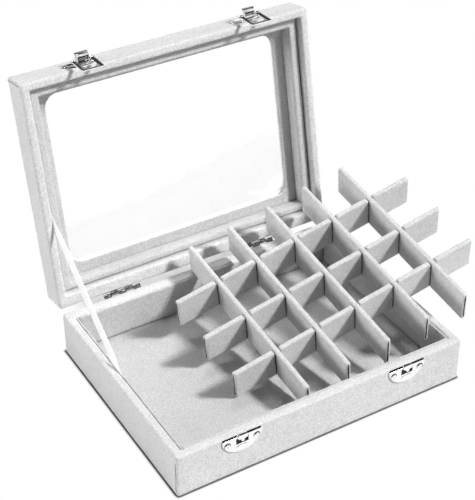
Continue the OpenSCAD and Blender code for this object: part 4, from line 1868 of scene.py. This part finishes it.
@dataclass(frozen=True)
class Card:
    """A card that only the polished metal sees: a patch of a sphere round its centre, in metres."""

    name: str
    azimuth: Pair
    elevation: Pair
    brightness: float = 1.0
    centre: Point = (0.0, 0.0, 0.11)
    distance: float = 1.6
    steps: int = 24

    def make(self) -> None:
        """Adds the card."""
        verts = []
        for j in range(self.steps + 1):
            rise = self.elevation[0] + (self.elevation[1] - self.elevation[0]) * j / self.steps
            for i in range(self.steps + 1):
                turn = self.azimuth[0] + (self.azimuth[1] - self.azimuth[0]) * i / self.steps
                verts.append((Vector(self.centre) + direction(turn, rise) * self.distance) / MM)
        card = from_points(self.name, verts, quads(self.steps + 1, self.steps + 1))
        sheet = NodeSheet(self.name)
        sheet.set(Base_Color=(0, 0, 0, 1), Emission_Color=WHITE, Emission_Strength=self.brightness)
        card.data.materials.append(sheet.material)
        for kind in ("camera", "diffuse", "transmission", "volume_scatter", "shadow"):
            setattr(card, "visible_" + kind, False)


@dataclass
class Studio:
    """A pale floor, a plain world and soft lamps."""

    sizes: CaseSizes
    world_grey: float = 0.02
    metal_grey: float = 0.05
    floor_tone: float = 0.62
    grain_share: float = 0.97
    grain_per_metre: float = 4.0
    # Painted shadow round the case's foot: the floor's colour darkens to this tone within this width
    painted_shadow_tone: float = 0.22
    painted_shadow_width: float = 1.0
    glow_edge: Pair = (0.35, 1.9)
    under_lid: float = 0.68
    under_lid_back: Pair = (48.0, 78.0)
    under_lid_left: Pair = (-86.0, -58.0)
    under_lid_right: Pair = (68.0, 78.0)
    near_rings: tuple[float, ...] = (0, 0.25, 0.6, 1.0, 1.5, 2.1, 3.2, 5, 9)
    far_rings: tuple[float, ...] = (15, 25, 38, 52, 66, 80, 120, 300, 6000)
    # Azimuth and elevation that each lamp shines from, its strength and its softness
    lamps: tuple[Lamp, ...] = (
        Lamp("key_lamp", 311.0, 46.0, 1.24, 9.0),
        Lamp("top_lamp", 50.0, 78.0, 0.22, 14.0),
        Lamp("low_front_lamp", 285.0, 12.0, 0.12, 40.0),
        Lamp("right_lamp", 338.0, 42.0, 0.07, 30.0),
        Lamp("back_left_lamp", 130.0, 12.0, 0.36, 40.0),
        Lamp("left_lamp", 173.0, 11.0, 0.53, 18.0),
    )
    # Azimuths and elevations that each card spans, its brightness, and where it isn't usual, its place
    cards: tuple[Card, ...] = (
        Card("horizon_card", (0.0, 360.0), (0.0, 11.0), 0.4),
        Card("front_card", (270.0, 335.0), (32.0, 62.0), 0.2),
        Card("left_card", (165.0, 205.0), (15.0, 40.0), 0.9),
        Card("wing_card", (52.0, 78.0), (11.5, 24.0), 0.32),
        Card("bail_card", (58.0, 86.0), (-16.0, -2.0), 0.01, (-0.058, 0.106, 0.183), 0.55),
    )

    def world(self) -> None:
        """A dim world that shows white to the camera and through glass, and dark in metal."""
        world = bpy.data.worlds.new("world")
        world.use_nodes = True
        bpy.context.scene.world = world
        tree = Tree(world.node_tree)
        plain, metal, white = (
            tree.add("ShaderNodeBackground", {"Color": WHITE, "Strength": strength}).outputs["Background"]
            for strength in (self.world_grey, self.metal_grey, 1.0)
        )
        glossy = tree.add("ShaderNodeLightPath").outputs["Is Glossy Ray"]
        unseen = tree.mix(glossy, plain, metal)
        shown = tree.mix(tree.seen("Is Transmission Ray"), unseen, white)
        tree.feed(tree.nodes["World Output"], {"Surface": shown})

    def glow_at(self, x: float, y: float) -> float:
        """How white the floor shows: not in a thin line round the case's foot nor under the open lid.

        Args:
            x: Place on the floor in millimetres.
            y: Place on the floor in millimetres.

        Returns:
            The share of plain white.
        """
        half_x, half_y = self.sizes.half
        away = math.hypot(max(abs(x) - half_x, 0.0), max(abs(y) - half_y, 0.0))
        behind = 1 - smooth_step(*self.under_lid_back, y - half_y) if y > half_y else 0.0
        behind *= 1 - smooth_step(*self.under_lid_right, x)
        behind *= self.under_lid * smooth_step(*self.under_lid_left, x)
        return smooth_step(*self.glow_edge, away) * (1 - behind)

    def floor_paper(self) -> Material:
        """The floor's material, which shows white to the camera where it glows.

        Returns:
            The material.
        """
        sheet = NodeSheet("floor_paper")
        glow, contact = (
            sheet.add("ShaderNodeAttribute", attribute_name=name).outputs["Fac"]
            for name in ("glow", "contact")
        )
        grain = sheet.noise(self.grain_per_metre, detail=2.0)
        colour = sheet.ramp(grain, (0.3, self.grain_share * self.floor_tone), (0.6, self.floor_tone))
        # Painted shadow: the floor's colour darkens round the case's foot
        shade = sheet.ramp(contact, (0.0, 1.0), (1.0, self.painted_shadow_tone))
        sheet.set(Base_Color=sheet.multiplied(colour, shade), Roughness=0.9, Specular_IOR_Level=0.1)
        share = sheet.math("MULTIPLY", sheet.seen("Is Glossy Ray", "Is Transmission Ray"), glow)
        white = sheet.add("ShaderNodeEmission").outputs["Emission"]
        sheet.surface(sheet.mix(share, sheet.plain, white))
        return sheet.material

    def floor(self) -> None:
        """Lays a pale floor that keeps the case's soft shadow, with a painted shadow darkening its colour
        round the case's foot.
        """
        foot = self.sizes.outside()
        distances = self.near_rings + self.far_rings
        rows = [foot.inset(-d, foot.radius + d).points(*RING_STEPS) for d in distances]
        count = len(rows[0])
        faces = quads(len(rows), count, ring=True) + [tuple(range(count))]
        mesh = bpy.data.meshes.new("floor")
        mesh.from_pydata([(x * MM, y * MM, 0.0) for row in rows for x, y in row], [], faces)
        glow, contact = (mesh.attributes.new(key, "FLOAT", "POINT").name for key in ("glow", "contact"))
        for j, (row, away) in enumerate(zip(rows, distances)):
            # Painted shadow round the foot: full at the foot, gone past its width
            shade = 1 - smooth_step(self.painted_shadow_width / 2, self.painted_shadow_width, away)
            for k, (x, y) in enumerate(row):
                mesh.attributes[glow].data[j * count + k].value = self.glow_at(x, y)
                mesh.attributes[contact].data[j * count + k].value = shade
        mesh.materials.append(self.floor_paper())
        linked_object("floor", mesh)

    def make(self) -> None:
        """Builds the studio."""
        bpy.context.scene.view_settings.view_transform = "Standard"
        self.world()
        self.floor()
        for part in (*self.lamps, *self.cards):
            part.make()


def main() -> None:
    """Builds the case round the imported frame."""
    logging.basicConfig(level=logging.INFO, format="%(name)s: %(message)s")
    for obj in list(bpy.data.objects):
        bpy.data.objects.remove(obj)
    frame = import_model()
    Camera().make()
    build = Build(frame)
    sizes, lid = CaseSizes(), OpenLid()
    TrayShell(build, sizes).make()
    TrayLining(build).make()
    LidShell(build, sizes, lid).make()
    LidLining(build, sizes, lid).make()
    DividerInsert(build).make()
    RibbonStay(build).make()
    Hardware(build, lid).make()
    PlainPieces(build).make()
    Studio(sizes).make()
    LOG.info("%d pieces", len(build.made))


if __name__ == "__main__":
    main()
